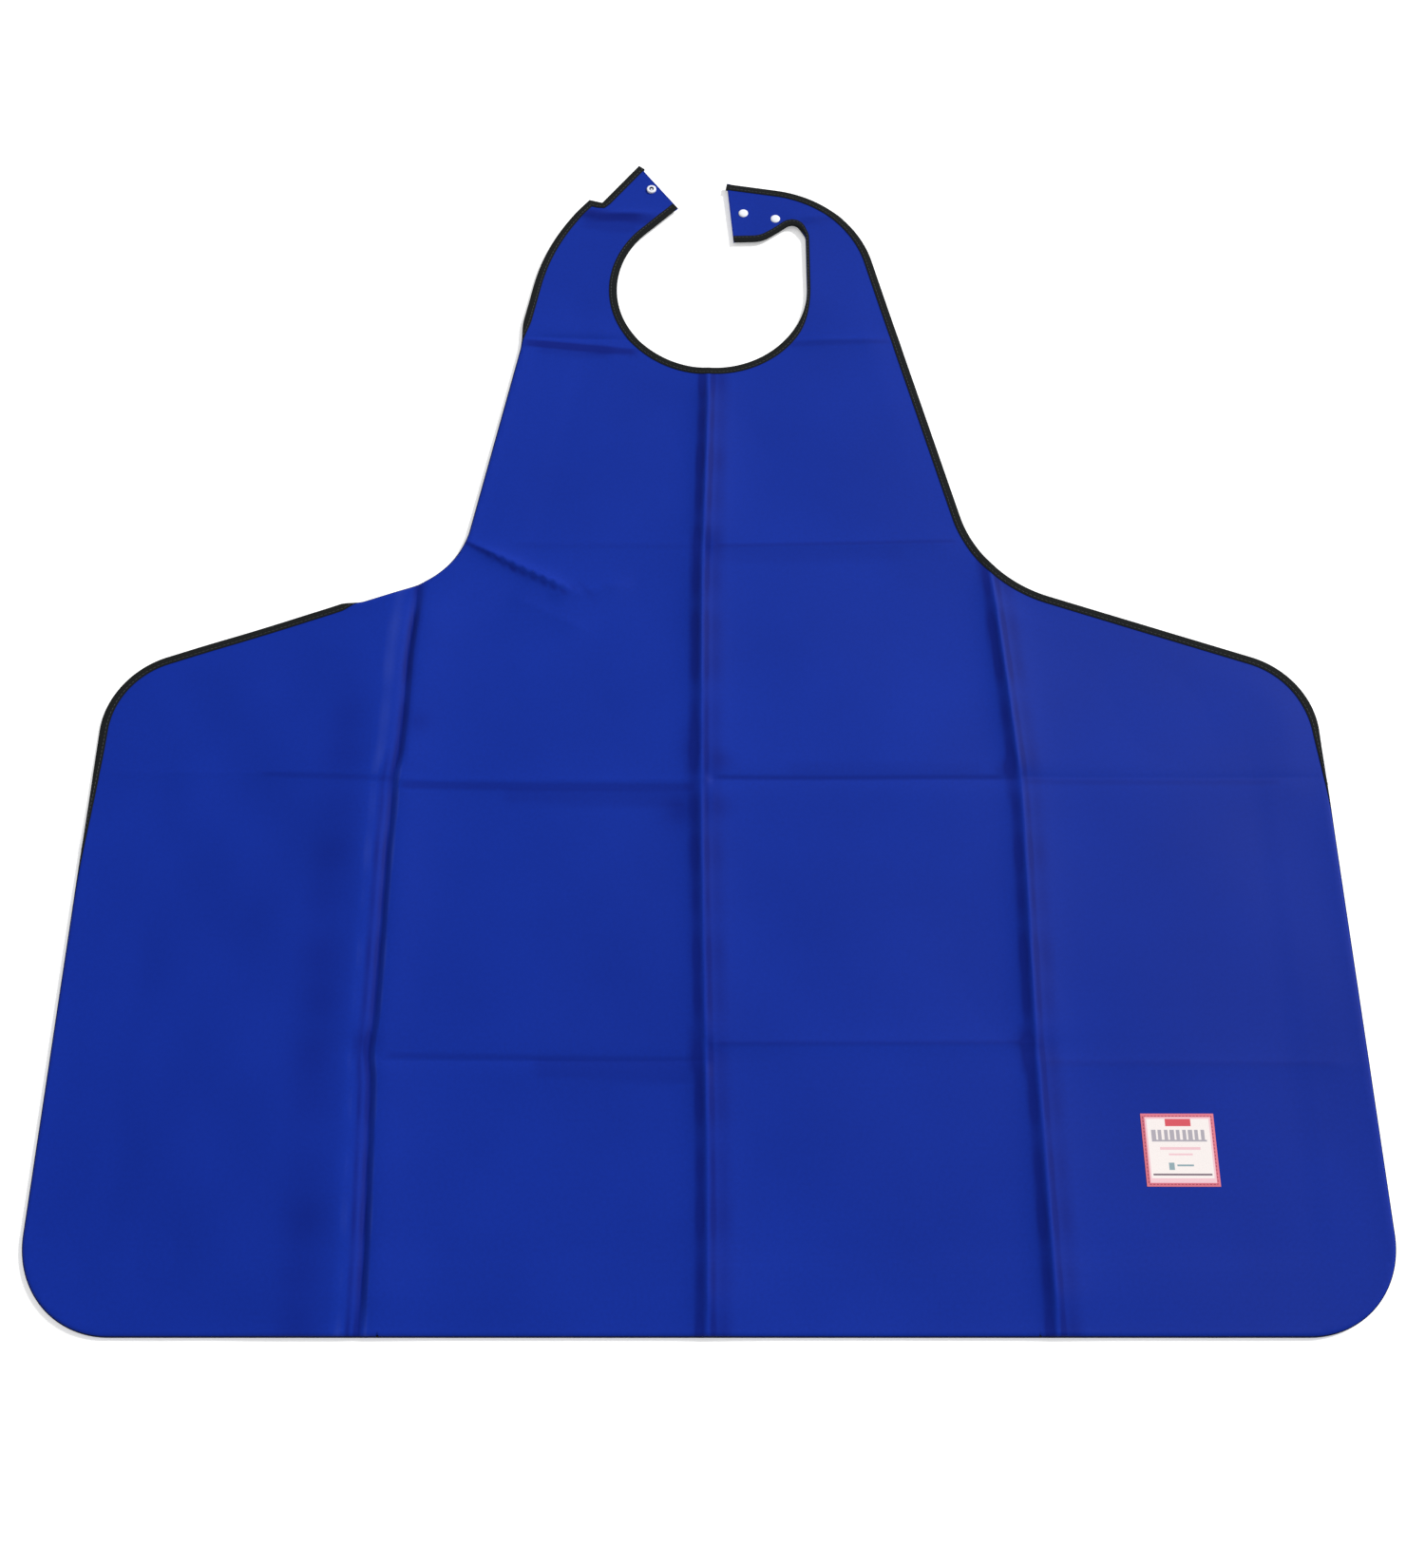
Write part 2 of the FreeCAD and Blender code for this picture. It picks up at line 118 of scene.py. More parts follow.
# the hook at the right end of the neck edge: a dip, a bump and the start of the bump
DIP = np.array([24.0, 0.5])
DIP_RADIUS = 22.0
BUMP_INSET = 9.5
BUMP_RISE = 20.5
BUMP_RADIUS = 8.0
BUMP_START_RISE = 6.0
BUMP_START_RADIUS = 9.0
# the outline's points are about this far apart
STEP = 2.5
# the curled left armhole and bib edge has drawn in this far
DRAWN_IN = 3.6
# the cloth stops this far inside a flat edge, under its tape
CLOTH_INSET = 0.6
# a wavelength so long that a wave doesn't change that way
ENDLESS = 1e9


def smooth(low, high, value):
    """0 below low, 1 above high, and an even S between."""
    t = np.clip((value - low) / (high - low), 0.0, 1.0)
    return t * t * (3 - 2 * t)


# -------------------- outline
def rounded(corners):
    """Points along a line of (x, y, radius) corners, about STEP apart round the arcs."""
    points = []
    last = len(corners) - 1
    for i, (x, y, radius) in enumerate(corners):
        corner = np.array([x, y])
        if radius == 0 or i in (0, last):
            points.append(corner)
            continue
        before = np.array(corners[i - 1][:2]) - corner
        after = np.array(corners[i + 1][:2]) - corner
        before /= np.linalg.norm(before)
        after /= np.linalg.norm(after)
        half = math.acos(np.clip(before @ after, -1, 1)) / 2
        bisector = (before + after) / np.linalg.norm(before + after)
        centre = corner + bisector * radius / math.sin(half)
        start = corner + before * radius / math.tan(half) - centre
        turn = math.pi - 2 * half
        if start[0] * before[1] - start[1] * before[0] > 0:
            turn = -turn
        steps = max(3, int(abs(turn) * radius / STEP))
        for k in range(steps + 1):
            angle = turn * k / steps
            c, s = math.cos(angle), math.sin(angle)
            points.append(centre + np.array([c * start[0] - s * start[1], s * start[0] + c * start[1]]))
    return points


def turning(point):
    """Whether a point of the outline lies where a fold turns."""
    x, y = abs(point[0]), point[1]
    wing = abs(x - WING_CREASE) < WING_TURN
    bib = -BIB_TURN_IN < y - BIB_CREASE < BIB_TURN_OUT
    strap = abs(y - STRAP_CREASE) < STRAP_TURN
    return wing or bib or strap


def divided(points):
    """The same line with its long runs divided, twice as finely where a fold turns."""
    out = [points[0]]
    for a, b in zip(points, points[1:]):
        steps = max(1, int(round(np.linalg.norm(b - a) / STEP)))
        marks = [a + (b - a) * k / steps for k in range(steps + 1)]
        for start, end in zip(marks, marks[1:]):
            if turning((start + end) / 2):
                out.append((start + end) / 2)
            out.append(end)
    return out


def wing_top(x):
    """The height of the wing's top line on the pattern, alike on both sides."""
    return WING_TOP_Y + WING_SLOPE * (SIDE - abs(x))


def left_bib_curl(x, y):
    """The curl of the left armhole and bib edge, 1 along most of it."""
    return (x < 0) * (y > 30) * smooth(-285.0, -268.0, x) * smooth(322.0, 292.0, y)


def inward_directions(points, closed):
    """Unit vectors to the left of a line's run, which is into the sheet."""
    if closed:
        tangent = np.roll(points, -1, axis=0) - np.roll(points, 1, axis=0)
    else:
        tangent = np.gradient(points, axis=0)
    tangent /= np.linalg.norm(tangent, axis=1)[:, None]
    return np.stack([-tangent[:, 1], tangent[:, 0]], axis=1)


def outer_edge():
    """From the left strap's tip down and round to the right strap's end."""
    line = np.array(divided(rounded([
        (*LEFT_END[0], 0),
        (*(LEFT_END[0] - NOTCH_INNER), 0),
        (*(LEFT_END[0] - NOTCH_OUTER), 0),
        LEFT_SHOULDER,
        (LEFT_ARMHOLE_X, wing_top(LEFT_ARMHOLE_X), LEFT_ARMHOLE_RADIUS),
        (-SIDE, WING_TOP_Y, CORNER_RADIUS),
        (-SIDE, HEM, CORNER_RADIUS),
        (SIDE, HEM, CORNER_RADIUS),
        (SIDE, WING_TOP_Y, CORNER_RADIUS),
        (RIGHT_ARMHOLE_X, wing_top(RIGHT_ARMHOLE_X), RIGHT_ARMHOLE_RADIUS),
        RIGHT_SHOULDER,
        (*RIGHT_END[0], 0),
    ])))
    drawn_in = DRAWN_IN * left_bib_curl(line[:, 0], line[:, 1])
    return list(line + inward_directions(line, False) * drawn_in[:, None])


def neck_edge():
    """From the right strap's end round the neck opening to the left strap's end."""
    right = NECK_CENTRE + np.array([NECK_RADIUS, 0])
    corner = RIGHT_END[1]
    hook = rounded([
        (*corner, 0),
        (*(corner + DIP), DIP_RADIUS),
        (right[0] - BUMP_INSET, corner[1] + BUMP_RISE, BUMP_RADIUS),
        (right[0], corner[1] + BUMP_START_RISE, BUMP_START_RADIUS),
        (*right, 0),
    ])
    sweep = 2 * math.pi - math.atan2(NECK_ARC_END[1], NECK_ARC_END[0])
    steps = int(sweep * NECK_RADIUS / STEP)
    circle = [NECK_CENTRE + NECK_RADIUS * np.array([math.cos(a), math.sin(a)])
              for a in (-sweep * k / steps for k in range(1, steps + 1))]
    return divided(hook + circle + [LEFT_END[1]])


OUTER = outer_edge()
NECK = neck_edge()
LEFT_CUT = divided([LEFT_END[1], LEFT_END[0]])
RIGHT_CUT = divided([RIGHT_END[0], RIGHT_END[1]])
LOOP = np.array(OUTER[:-1] + RIGHT_CUT[:-1] + NECK[:-1] + LEFT_CUT[:-1])
KIND = np.array(["outer"] * (len(OUTER) - 1) + ["cut"] * (len(RIGHT_CUT) - 1)
                + ["neck"] * (len(NECK) - 1) + ["cut"] * (len(LEFT_CUT) - 1))


def curl_at(points, kinds):
    """How far the bound edge has curled under the sheet: 0 lies flat, 1 has gone out of sight."""
    x, y = points[:, 0], points[:, 1]
    left_side = smooth(-35.0, -215.0, y)
    right_side = smooth(-20.0, -140.0, y)
    low_edge = np.where(x < 0, left_side, right_side) * (y < 0)
    neck_right = 0.55 * smooth(40.0, 78.0, x) * smooth(300.0, 350.0, y) * smooth(422.0, 404.0, y)
    outer = np.maximum(low_edge, left_bib_curl(x, y))
    return np.where(kinds == "outer", outer, np.where(kinds == "neck", neck_right, 0.0))


LOOP_CURL = curl_at(LOOP, KIND)
# distances to the outline are worked out up to FAR, in square cells of the pattern
FAR = 60.0
CELL = 40.0
# how slowly the lift of a curled edge fades into the sheet
ROLL_FADE = 26.0


def edge_distance(x, y):
    """Each point's distance to the outline, up to FAR, the curl of the nearest stretch, and the
    strongest lift that any curled stretch gives the point."""
    points = np.stack([x, y], axis=1)
    starts, ends = LOOP, np.roll(LOOP, -1, axis=0)
    next_curl = np.roll(LOOP_CURL, -1)
    distance = np.full(len(points), FAR)
    curl = np.zeros(len(points))
    lift = np.zeros(len(points))
    cells, member = np.unique(np.floor(points / CELL), axis=0, return_inverse=True)
    member = member.ravel()
    order = np.argsort(member, kind="stable")
    groups = np.split(order, np.cumsum(np.bincount(member, minlength=len(cells)))[:-1])
    for cell, group in zip(cells, groups):
        middle = (cell + 0.5) * CELL
        near = np.flatnonzero((np.abs(starts - middle) < CELL / 2 + FAR + STEP).all(axis=1))
        if len(near) == 0:
            continue
        a, run = starts[near], ends[near] - starts[near]
        offset = points[group][:, None] - a[None]
        along = np.clip((offset * run[None]).sum(axis=2) / (run ** 2).sum(axis=1), 0, 1)
        gap = np.linalg.norm(offset - along[..., None] * run[None], axis=2)
        nearest = gap.argmin(axis=1)
        rows = np.arange(len(group))
        distance[group] = np.minimum(gap[rows, nearest], FAR)
        curls = LOOP_CURL[near] * (1 - along) + next_curl[near] * along
        curl[group] = curls[rows, nearest]
        fade = np.exp(-gap / ROLL_FADE) * smooth(FAR, FAR - 20.0, gap)
        lift[group] = (curls * fade).max(axis=1)
    return distance, curl, lift


# -------------------- relief of the sheet
ROLL_HEIGHT = 2.6
ROLL_RADIUS = 3.2


def waves(x, y, *terms):
    """A sum of long sine waves, each given as (height, x length, y length, phase)."""
    return sum(h * np.sin(2 * np.pi * (x / wx + y / wy) + phase) for h, wx, wy, phase in terms)


def ridge(distance, height, left, right):
    """A sharp crease standing up, with its own slope length on each side."""
    reach = np.where(distance < 0, left, right)
    tip = 0.8
    return height * np.exp(-(np.sqrt(distance ** 2 + tip ** 2) - tip) / reach)


def valley(distance, height, left, right):
    """A sharp crease pressed down on the table, with the cloth swelling up on each side of it."""
    rise = 7.0
    fall = np.where(distance < 0, left, right)
    tip = 0.6
    away = np.sqrt(distance ** 2 + tip ** 2) - tip
    return height * (1 - np.exp(-away / rise)) * np.exp(-(away / fall) ** 1.5)


def row_pinch(y, depth):
    """1 along a long crease and less where a row crosses it, because it sinks there."""
    pinch = np.ones_like(y)
    for row in CREASE_ROWS[1:]:
        pinch -= depth * np.exp(-((y - row) / 11.0) ** 2)
    return pinch


def centre_line(y):
    """The x of the crease down the middle."""
    return -1.0 - 5.0 * smooth(-420.0, -80.0, y) * smooth(280.0, 40.0, y)


def right_line(y):
    """The x of the right crease, which leans towards the middle above the skirt's first row."""
    mid, low = SKIRT_CREASES
    lean = 0.062 * np.clip(y - mid, 0.0, 200.0)
    return WING_CREASE - lean - 2.8 * smooth(mid, low, y)


def left_line(y):
    """The x of the left crease, with a small kink at each row across the skirt."""
    mid, low = SKIRT_CREASES
    kink = 1.5 * np.exp(-((y - mid) / 14.0) ** 2) + 2.5 * np.exp(-((y - low) / 16.0) ** 2)
    upper = 4.0 * smooth(0.0, 70.0, y) - 4.5 * smooth(-20.0, -150.0, y)
    return -WING_CREASE + upper + 6.0 * smooth(-250.0, -480.0, y) - kink


def centre_crease(x, y):
    """The height of the ridge down the middle."""
    height = 3.6 + 1.0 * smooth(-60.0, 60.0, y) + waves(0.0, y, (0.5, ENDLESS, 170.0, 0.7))
    return ridge(x - centre_line(y), height * row_pinch(y, 0.4), 7.0, 17.0)


def right_crease(x, y):
    """The height of the ridge between the skirt and the right wing."""
    height = 3.8 + waves(0.0, y, (0.6, ENDLESS, 210.0, 2.0))
    return ridge(x - right_line(y), height * row_pinch(y, 0.4), 7.0, 19.0)


def left_crease(x, y):
    """The height of the valley between the left wing and the skirt, and of its swollen lip."""
    bend = left_line(y)
    height = 3.6 + waves(0.0, y, (0.6, ENDLESS, 240.0, 0.0))
    deep = valley(x - bend, height * row_pinch(y, 0.3), 62.0, 30.0)
    lip = ridge(x - bend - 5.0, 1.4 + 0 * y, 3.0, 8.0)
    return deep + lip


def crease_rows(x, y):
    """The shallow creases across the sheet, up on some stretches and down on others."""
    total = np.zeros_like(x)
    left_half = smooth(4.0, -4.0, x)
    wing_left = smooth(-WING_CREASE + 6, -WING_CREASE - 6, x)
    wing_right = smooth(WING_CREASE - 6, WING_CREASE + 6, x)
    centre_left = left_half * (1 - wing_left)
    centre_right = (1 - left_half) * (1 - wing_right)
    mid, low = SKIRT_CREASES
    total += centre_left * ridge(y - mid, 1.0, 9.0, 9.0)
    total += centre_right * valley(y - mid, 1.2, 26.0, 16.0)
    total += wing_left * ridge(y - mid - 6, 0.7, 10.0, 12.0)
    total += wing_right * valley(y - mid - 2, 0.8, 20.0, 16.0)
    total += centre_left * valley(y - low + 8, 1.1, 16.0, 26.0)
    total += centre_right * ridge(y - low - 4, 1.0, 9.0, 14.0)
    total += wing_right * ridge(y - low + 10, 0.6, 10.0, 10.0)
    total += (1 - left_half) * ridge(y - BIB_CREASE - 0.02 * (x - 110), 1.1, 9.0, 12.0)
    total += left_half * ridge(y - BIB_CREASE, 0.5, 10.0, 14.0)
    total += left_half * valley(y - STRAP_CREASE + 0.02 * x, 2.0, 20.0, 14.0)
    total += (1 - left_half) * ridge(y - STRAP_CREASE, 1.8, 10.0, 8.0)
    return total


def beside_line(x, y, start, end):
    """How far each point lies along a line and to its left, and the line's length."""
    start, end = np.array(start), np.array(end)
    length = np.linalg.norm(end - start)
    run = (end - start) / length
    along = (x - start[0]) * run[0] + (y - start[1]) * run[1]
    across = (x - start[0]) * -run[1] + (y - start[1]) * run[0]
    return along, across, length


def streak(x, y, start, end, height, width):
    """One wrinkle between two points, fading at both ends."""
    along, across, length = beside_line(x, y, start, end)
    fade = smooth(-0.12, 0.12, along / length) * smooth(1.1, 0.7, along / length)
    return height * fade * np.exp(-(np.sqrt(across ** 2 + 0.8 ** 2) - 0.8) / width)


def wrinkles(x, y):
    """The wrinkles running in from the left armhole and across the ends of the straps."""
    total = streak(x, y, (-196.0, 112.0), (-104.0, 66.0), 3.2, 5.0)
    total += streak(x, y, (-120.0, 62.0), (-60.0, 74.0), 1.4, 7.0)
    total += streak(x, y, (-150.0, 60.0), (-90.0, 30.0), 0.8, 12.0)
    total += streak(x, y, (-118.0, 431.0), (-36.0, 431.0), 1.6, 4.0)
    total += streak(x, y, (66.0, 425.0), (121.0, 428.0), 1.3, 4.0)
    return total


def swells(x, y):
    """Broad lazy swelling, strongest on the wings."""
    wing = smooth(150.0, 330.0, np.abs(x)) * smooth(420.0, 380.0, np.abs(x))
    left = wing * (x < 0)
    broad = waves(x, y, (0.8, 420.0, 300.0, 0.5), (0.6, -230.0, 410.0, 1.9), (0.35, 150.0, 190.0, 4.0))
    mottled = waves(x, y, (0.35, 95.0, 120.0, 1.0), (0.3, -70.0, 150.0, 2.2))
    return 0.5 + 0.45 * broad + left * mottled + 0.5 * left


def band(distance, low, high, soft):
    """1 between low and high, fading over soft on both sides."""
    return smooth(low - soft, low + soft, distance) * smooth(high + soft, high - soft, distance)


def line_tone(x, y, start, end, width, soft=1.5):
    """1 along a line between two points, fading over soft beside it and towards its ends."""
    along, across, length = beside_line(x, y, start, end)
    ends = smooth(-6.0, 4.0, along) * smooth(length + 6.0, length - 4.0, along)
    return ends * band(across, -width / 2, width / 2, soft)


# painted shade along each crease across the sheet: left end, right end, width, how much darker
ROW_SHADES = [
    ((8, 106.0), (192, 111.0), 3.0, 0.55),
    ((8, 98.0), (150, 100.0), 12.0, 0.15),
    ((-150, 107.0), (-16, 107.0), 5.0, 0.14),
    ((8, -89.0), (214, -89.0), 3.0, 0.6),
    ((60, -82.0), (200, -83.0), 9.0, 0.15),
    ((-226, -96.0), (-14, -97.0), 6.0, 0.5),
    ((-330, -87.0), (-236, -91.0), 4.0, 0.3),
    ((-150, -104.0), (-20, -106.0), 12.0, 0.28),
    ((236, -93.0), (420, -93.0), 4.0, 0.3),
    ((-222, -297.0), (-14, -300.0), 4.0, 0.32),
    ((-120, -306.0), (-14, -309.0), 14.0, 0.24),
    ((8, -289.0), (224, -288.0), 3.0, 0.38),
    ((236, -302.0), (430, -303.0), 4.0, 0.2),
    ((-152, 298.0), (-62, 289.0), 7.0, 0.9),
    ((-140, 294.0), (-84, 289.0), 14.0, 0.25),
    ((66, 297.0), (148, 300.0), 5.0, 0.35),
    ((-112, 431.0), (-44, 424.0), 9.0, 0.7),
    ((-106, 425.0), (-62, 420.0), 20.0, 0.35),
    ((66, 421.0), (118, 426.0), 4.0, 0.35),
    # the wrinkle running in from the left armhole
    ((-194, 110.0), (-150, 84.0), 3.0, 0.95),
    ((-152, 85.0), (-112, 65.0), 2.4, 0.85),
    ((-112, 65.0), (-100, 72.0), 2.0, 0.4),
    ((-100, 72.0), (-88, 58.0), 2.0, 0.4),
]

# painted shade in the dimples where creases cross: x, y, reach, how much darker
DIMPLE_SHADES = [
    (-22.0, -116.0, 11.0, 0.6),
    (-13.0, -66.0, 8.0, 0.5),
    (-11.0, -52.0, 8.0, 0.4),
    (10.0, -76.0, 8.0, 0.4),
    (9.0, -112.0, 9.0, 0.35),
    (-238.0, -287.0, 8.0, 0.55),
    (-217.0, -45.0, 8.0, 0.35),
    (219.0, -84.0, 7.0, 0.5),
    (221.0, -288.0, 8.0, 0.5),
]


def ridge_painted_light(x, y, line, top):
    """Painted shade along a standing crease up to y = top: deep in its lee, lighter on its other side,
    and a thin painted highlight on its crest.
    """
    across = x - line(y)
    tone = -1.15 * band(across, -8.0, -2.0, 2.2) + 0.1 * band(across, -0.8, 1.0, 0.6)
    tone -= 1.0 * band(across, 2.0, 5.5, 1.2) + 0.55 * band(across, 6.0, 15.0, 5.0)
    crossing = 1 - row_pinch(y, 0.5)
    # deeper painted shade further out in the lee where the rows cross
    tone -= 0.8 * band(across, -11.0, -8.0, 2.5) * smooth(-0.05, 0.15, crossing) * (y < -20.0)
    return tone * (0.75 + 0.25 * smooth(-60.0, 60.0, y)) * (y < top)


def valley_painted_light(x, y):
    """Painted shade and highlight along the left crease, with the uneven band of painted shade beside its
    swollen lip.
    """
    mid = SKIRT_CREASES[0]
    across = x - left_line(y)
    # painted shade in the valley and painted highlight on its lip
    tone = -0.9 * band(across, -3.0, 1.0, 2.0) + 0.3 * band(across, 3.5, 6.0, 1.5)
    uneven = 0.75 + waves(x, y, (0.2, 160.0, 210.0, 0.9), (0.15, -90.0, 140.0, 2.0))
    tone -= 0.35 * band(across, -52.0, -26.0, 12.0) * uneven * smooth(30.0, -60.0, y)
    # a band of painted highlight on the lit swelling left of the valley
    tone += 0.25 * band(across, -17.0, -10.0, 4.0)
    above = smooth(mid, mid + 30.0, y)
    tone -= 0.6 * band(across, 0.0, 6.5, 2.5) * above
    tone -= 0.6 * band(across, -8.5, -5.5, 1.5) * (1 - above)
    return tone * (y < 110.0)


def painted_light_and_tone(x, y):
    """Painted light at the creases: below 0 painted shade, above 0 painted highlight."""
    tone = ridge_painted_light(x, y, centre_line, 276.0)
    tone += 1.05 * ridge_painted_light(x, y, right_line, 110.0)
    tone += valley_painted_light(x, y)
    tone *= 1 + waves(x, y, (0.2, ENDLESS, 83.0, 0.4), (0.2, ENDLESS, 37.0, 1.7))
    for start, end, width, darker in ROW_SHADES:
        tone -= darker * line_tone(x, y, start, end, width)
    for place_x, place_y, reach, darker in DIMPLE_SHADES:
        tone -= darker * np.exp(-((x - place_x) ** 2 + (y - place_y) ** 2) / reach ** 2)
    # a thin darker line along the cut end of each strap
    for cut in (LEFT_END, RIGHT_END):
        tone -= 0.9 * line_tone(x, y, cut[0], cut[1], 2.0, 0.6)
    # the lower part and the wings are a little darker all over
    tone -= 0.16 * smooth(0.0, -260.0, y) + 0.12 * smooth(215.0, 300.0, np.abs(x))
    return tone


def sheet_height(x, y):
    """Height of the middle of the cloth above the table, for arrays of points of the flat pattern."""
    distance, curl, lift = edge_distance(x, y)
    below_straps = smooth(STRAP_CREASE + 70.0, STRAP_CREASE, y)
    relief = np.maximum(swells(x, y), 0) * below_straps
    neck_fade = smooth(NECK_CENTRE[1] - NECK_RADIUS + 30, NECK_CENTRE[1] - NECK_RADIUS - 10, y)
    relief = relief + centre_crease(x, y) * np.where(y > 200, 0.55 + 0.45 * neck_fade, 1.0) * (y < 350)
    relief = relief + (left_crease(x, y) + right_crease(x, y)) * (y < 200)
    relief = relief + crease_rows(x, y) + wrinkles(x, y)
    # the tape holds the edge flatter, and the cloth lies flat round each press stud
    relief *= 0.35 + 0.65 * smooth(0.0, 30.0, distance)
    for snap in ("left_snap_socket", "right_snap_cap_1", "right_snap_cap_2"):
        low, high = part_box(snap)
        middle = (Vector(low) + Vector(high)) / 2 / MM
        away = np.hypot(x - middle.x, y - middle.y)
        relief *= smooth(3.0, 16.0, away)
    height = BASE + relief + np.maximum(y - STRAP_CREASE, 0) * STRAP_LIFT
    height += ROLL_HEIGHT * lift
    inward = np.clip(1 - distance / ROLL_RADIUS, 0, 1)
    drop = 1 - np.sqrt(1 - inward ** 2)
    return height - curl * drop * (height - CLOTH / 2)


def sheet_normals(x, y):
    """Unit normals of the sheet, from its slopes."""
    step = 0.25
    dx = (sheet_height(x + step, y) - sheet_height(x - step, y)) / (2 * step)
    dy = (sheet_height(x, y + step) - sheet_height(x, y - step)) / (2 * step)
    n = np.stack([-dx, -dy, np.ones_like(dx)], axis=1)
    return n / np.linalg.norm(n, axis=1)[:, None]


# -------------------- grid lines shared by all cloth pieces
def grid_lines(low, high, fine_at, seams):
    """Even lines, closer together round the creases and exact on the seams."""
    coarse = 4.0
    fine = 1.25
    lines = list(np.arange(low, high, coarse))
    for centre, reach in fine_at:
        lines = [v for v in lines if abs(v - centre) > reach]
        lines += list(np.arange(centre - reach, centre + reach + 0.01, fine))
    for seam in seams:
        lines = [v for v in lines if abs(v - seam) > 0.6]
        lines.append(seam)
    return np.array(sorted(lines))


WING_SEAM = WING_CREASE - WING_TURN
BIB_SEAM = BIB_CREASE - BIB_TURN_IN
STRAP_SEAM = STRAP_CREASE - STRAP_TURN
# the long creases and the rows, each with the distance on both sides that is finely divided
LONG_CREASES = [(-WING_CREASE, 12), (-2.0, 11), (WING_CREASE - 1, 12)]
X_LINES = grid_lines(-SIDE, SIDE, LONG_CREASES, [-WING_SEAM, WING_SEAM])
Y_LINES = grid_lines(HEM, TIP, [(row, 10) for row in CREASE_ROWS], [BIB_SEAM, STRAP_SEAM])


def clip(polygon, axis, limit, keep_above):
    """The part of a polygon on one side of a line across x or y."""
    out = []
    sign = 1 if keep_above else -1
    for a, b in zip(polygon, np.roll(polygon, -1, axis=0)):
        da, db = sign * (a[axis] - limit), sign * (b[axis] - limit)
        if da >= 0:
            out.append(a)
        if da * db < 0:
            out.append(a + (b - a) * da / (da - db))
    return np.array(out)


def seam_divided(polygon):
    """The polygon with its seam runs divided at the grid lines."""
    out = []
    for a, b in zip(polygon, np.roll(polygon, -1, axis=0)):
        out.append(a)
        if np.linalg.norm(b - a) < 3 * STEP:
            continue
        axis = 1 if abs(a[0] - b[0]) < 1e-6 else 0
        lines = Y_LINES if axis == 1 else X_LINES
        low, high = min(a[axis], b[axis]) + 0.4, max(a[axis], b[axis]) - 0.4
        cuts = [v for v in lines if low < v < high]
        if b[axis] < a[axis]:
            cuts.reverse()
        for v in cuts:
            out.append(a + (b - a) * (v - a[axis]) / (b[axis] - a[axis]))
    return np.array(out)


def inside(polygon, points):
    """Which points lie inside the polygon: a line from one of those crosses it an odd number of times."""
    result = ((points > polygon.min(axis=0)) & (points < polygon.max(axis=0))).all(axis=1)
    x, y = points[result].T
    odd = np.zeros(len(x), bool)
    for a, b in zip(polygon, np.roll(polygon, -1, axis=0)):
        if a[1] == b[1]:
            continue
        crosses = (a[1] > y) != (b[1] > y)
        odd ^= crosses & (x < (b[0] - a[0]) * (y - a[1]) / (b[1] - a[1]) + a[0])
    result[result] = odd
    return result


def polygon_distance(polygon, points):
    """Distance from points to the polygon's edge, for those that are near it."""
    margin = 6.0
    best = np.full(len(points), math.inf)
    for a, b in zip(polygon, np.roll(polygon, -1, axis=0)):
        run = b - a
        near = (points > np.minimum(a, b) - margin).all(axis=1)
        near &= (points < np.maximum(a, b) + margin).all(axis=1)
        if not near.any():
            continue
        p = points[near] - a
        along = np.clip((p @ run) / max(run @ run, 1e-9), 0, 1)
        best[near] = np.minimum(best[near], np.linalg.norm(p - along[:, None] * run, axis=1))
    return best


def cloth_boundary():
    """The sheet's own outline: just inside its tape where that shows, and at the edge where it curls."""
    inward = inward_directions(LOOP, True)
    bound = (KIND != "cut").astype(float)
    bound = np.minimum(bound, np.minimum(np.roll(bound, 1), np.roll(bound, -1)))
    return LOOP + inward * (CLOTH_INSET * bound * (1 - LOOP_CURL))[:, None]


CLOTH_LOOP = cloth_boundary()


def new_object(name, vertices, faces, materials):
    """A mesh object in the scene, from vertices in millimetres, with every face smooth."""
    mesh = bpy.data.meshes.new(name)
    mesh.from_pydata([tuple(v) for v in np.asarray(vertices) * MM], [], faces)
    for material in materials:
        mesh.materials.append(material)
    mesh.polygons.foreach_set("use_smooth", [True] * len(mesh.polygons))
    piece = bpy.data.objects.new(name, mesh)
    bpy.context.scene.collection.objects.link(piece)
    return piece


def flat_uv(mesh, uv):
    """UVs in metres of the flat pattern, one pair per vertex."""
    layer = mesh.uv_layers.new(name="pattern")
    index = np.empty(len(mesh.loops), int)
    mesh.loops.foreach_get("vertex_index", index)
    layer.data.foreach_set("uv", (np.asarray(uv) * MM)[index].astype(np.float32).ravel())


def edge_rings(polygon):
    """Rows of points just inside the outline, close together where the edge curls."""
    inward = inward_directions(LOOP, True)
    rings = []
    for reach, only_where_curled in ((0.35, True), (0.9, True), (1.7, False), (2.8, True)):
        ring = LOOP + inward * reach
        if only_where_curled:
            ring = ring[LOOP_CURL > 0.02]
        ring = ring[inside(polygon, ring)]
        if len(ring) == 0:
            continue
        ring = ring[edge_distance(ring[:, 0], ring[:, 1])[0] > reach * 0.95]
        rings.append(ring[polygon_distance(polygon, ring) > 0.25])
    return rings


def inner_grid(polygon):
    """The crossings of the grid lines inside a polygon, clear of its edge and of the outline's rings."""
    grid = np.stack(np.meshgrid(X_LINES, Y_LINES), axis=-1).reshape(-1, 2)
    grid = grid[inside(polygon, grid)]
    grid = grid[polygon_distance(polygon, grid) > 0.5]
    return grid[edge_distance(grid[:, 0], grid[:, 1])[0] > 3.6]


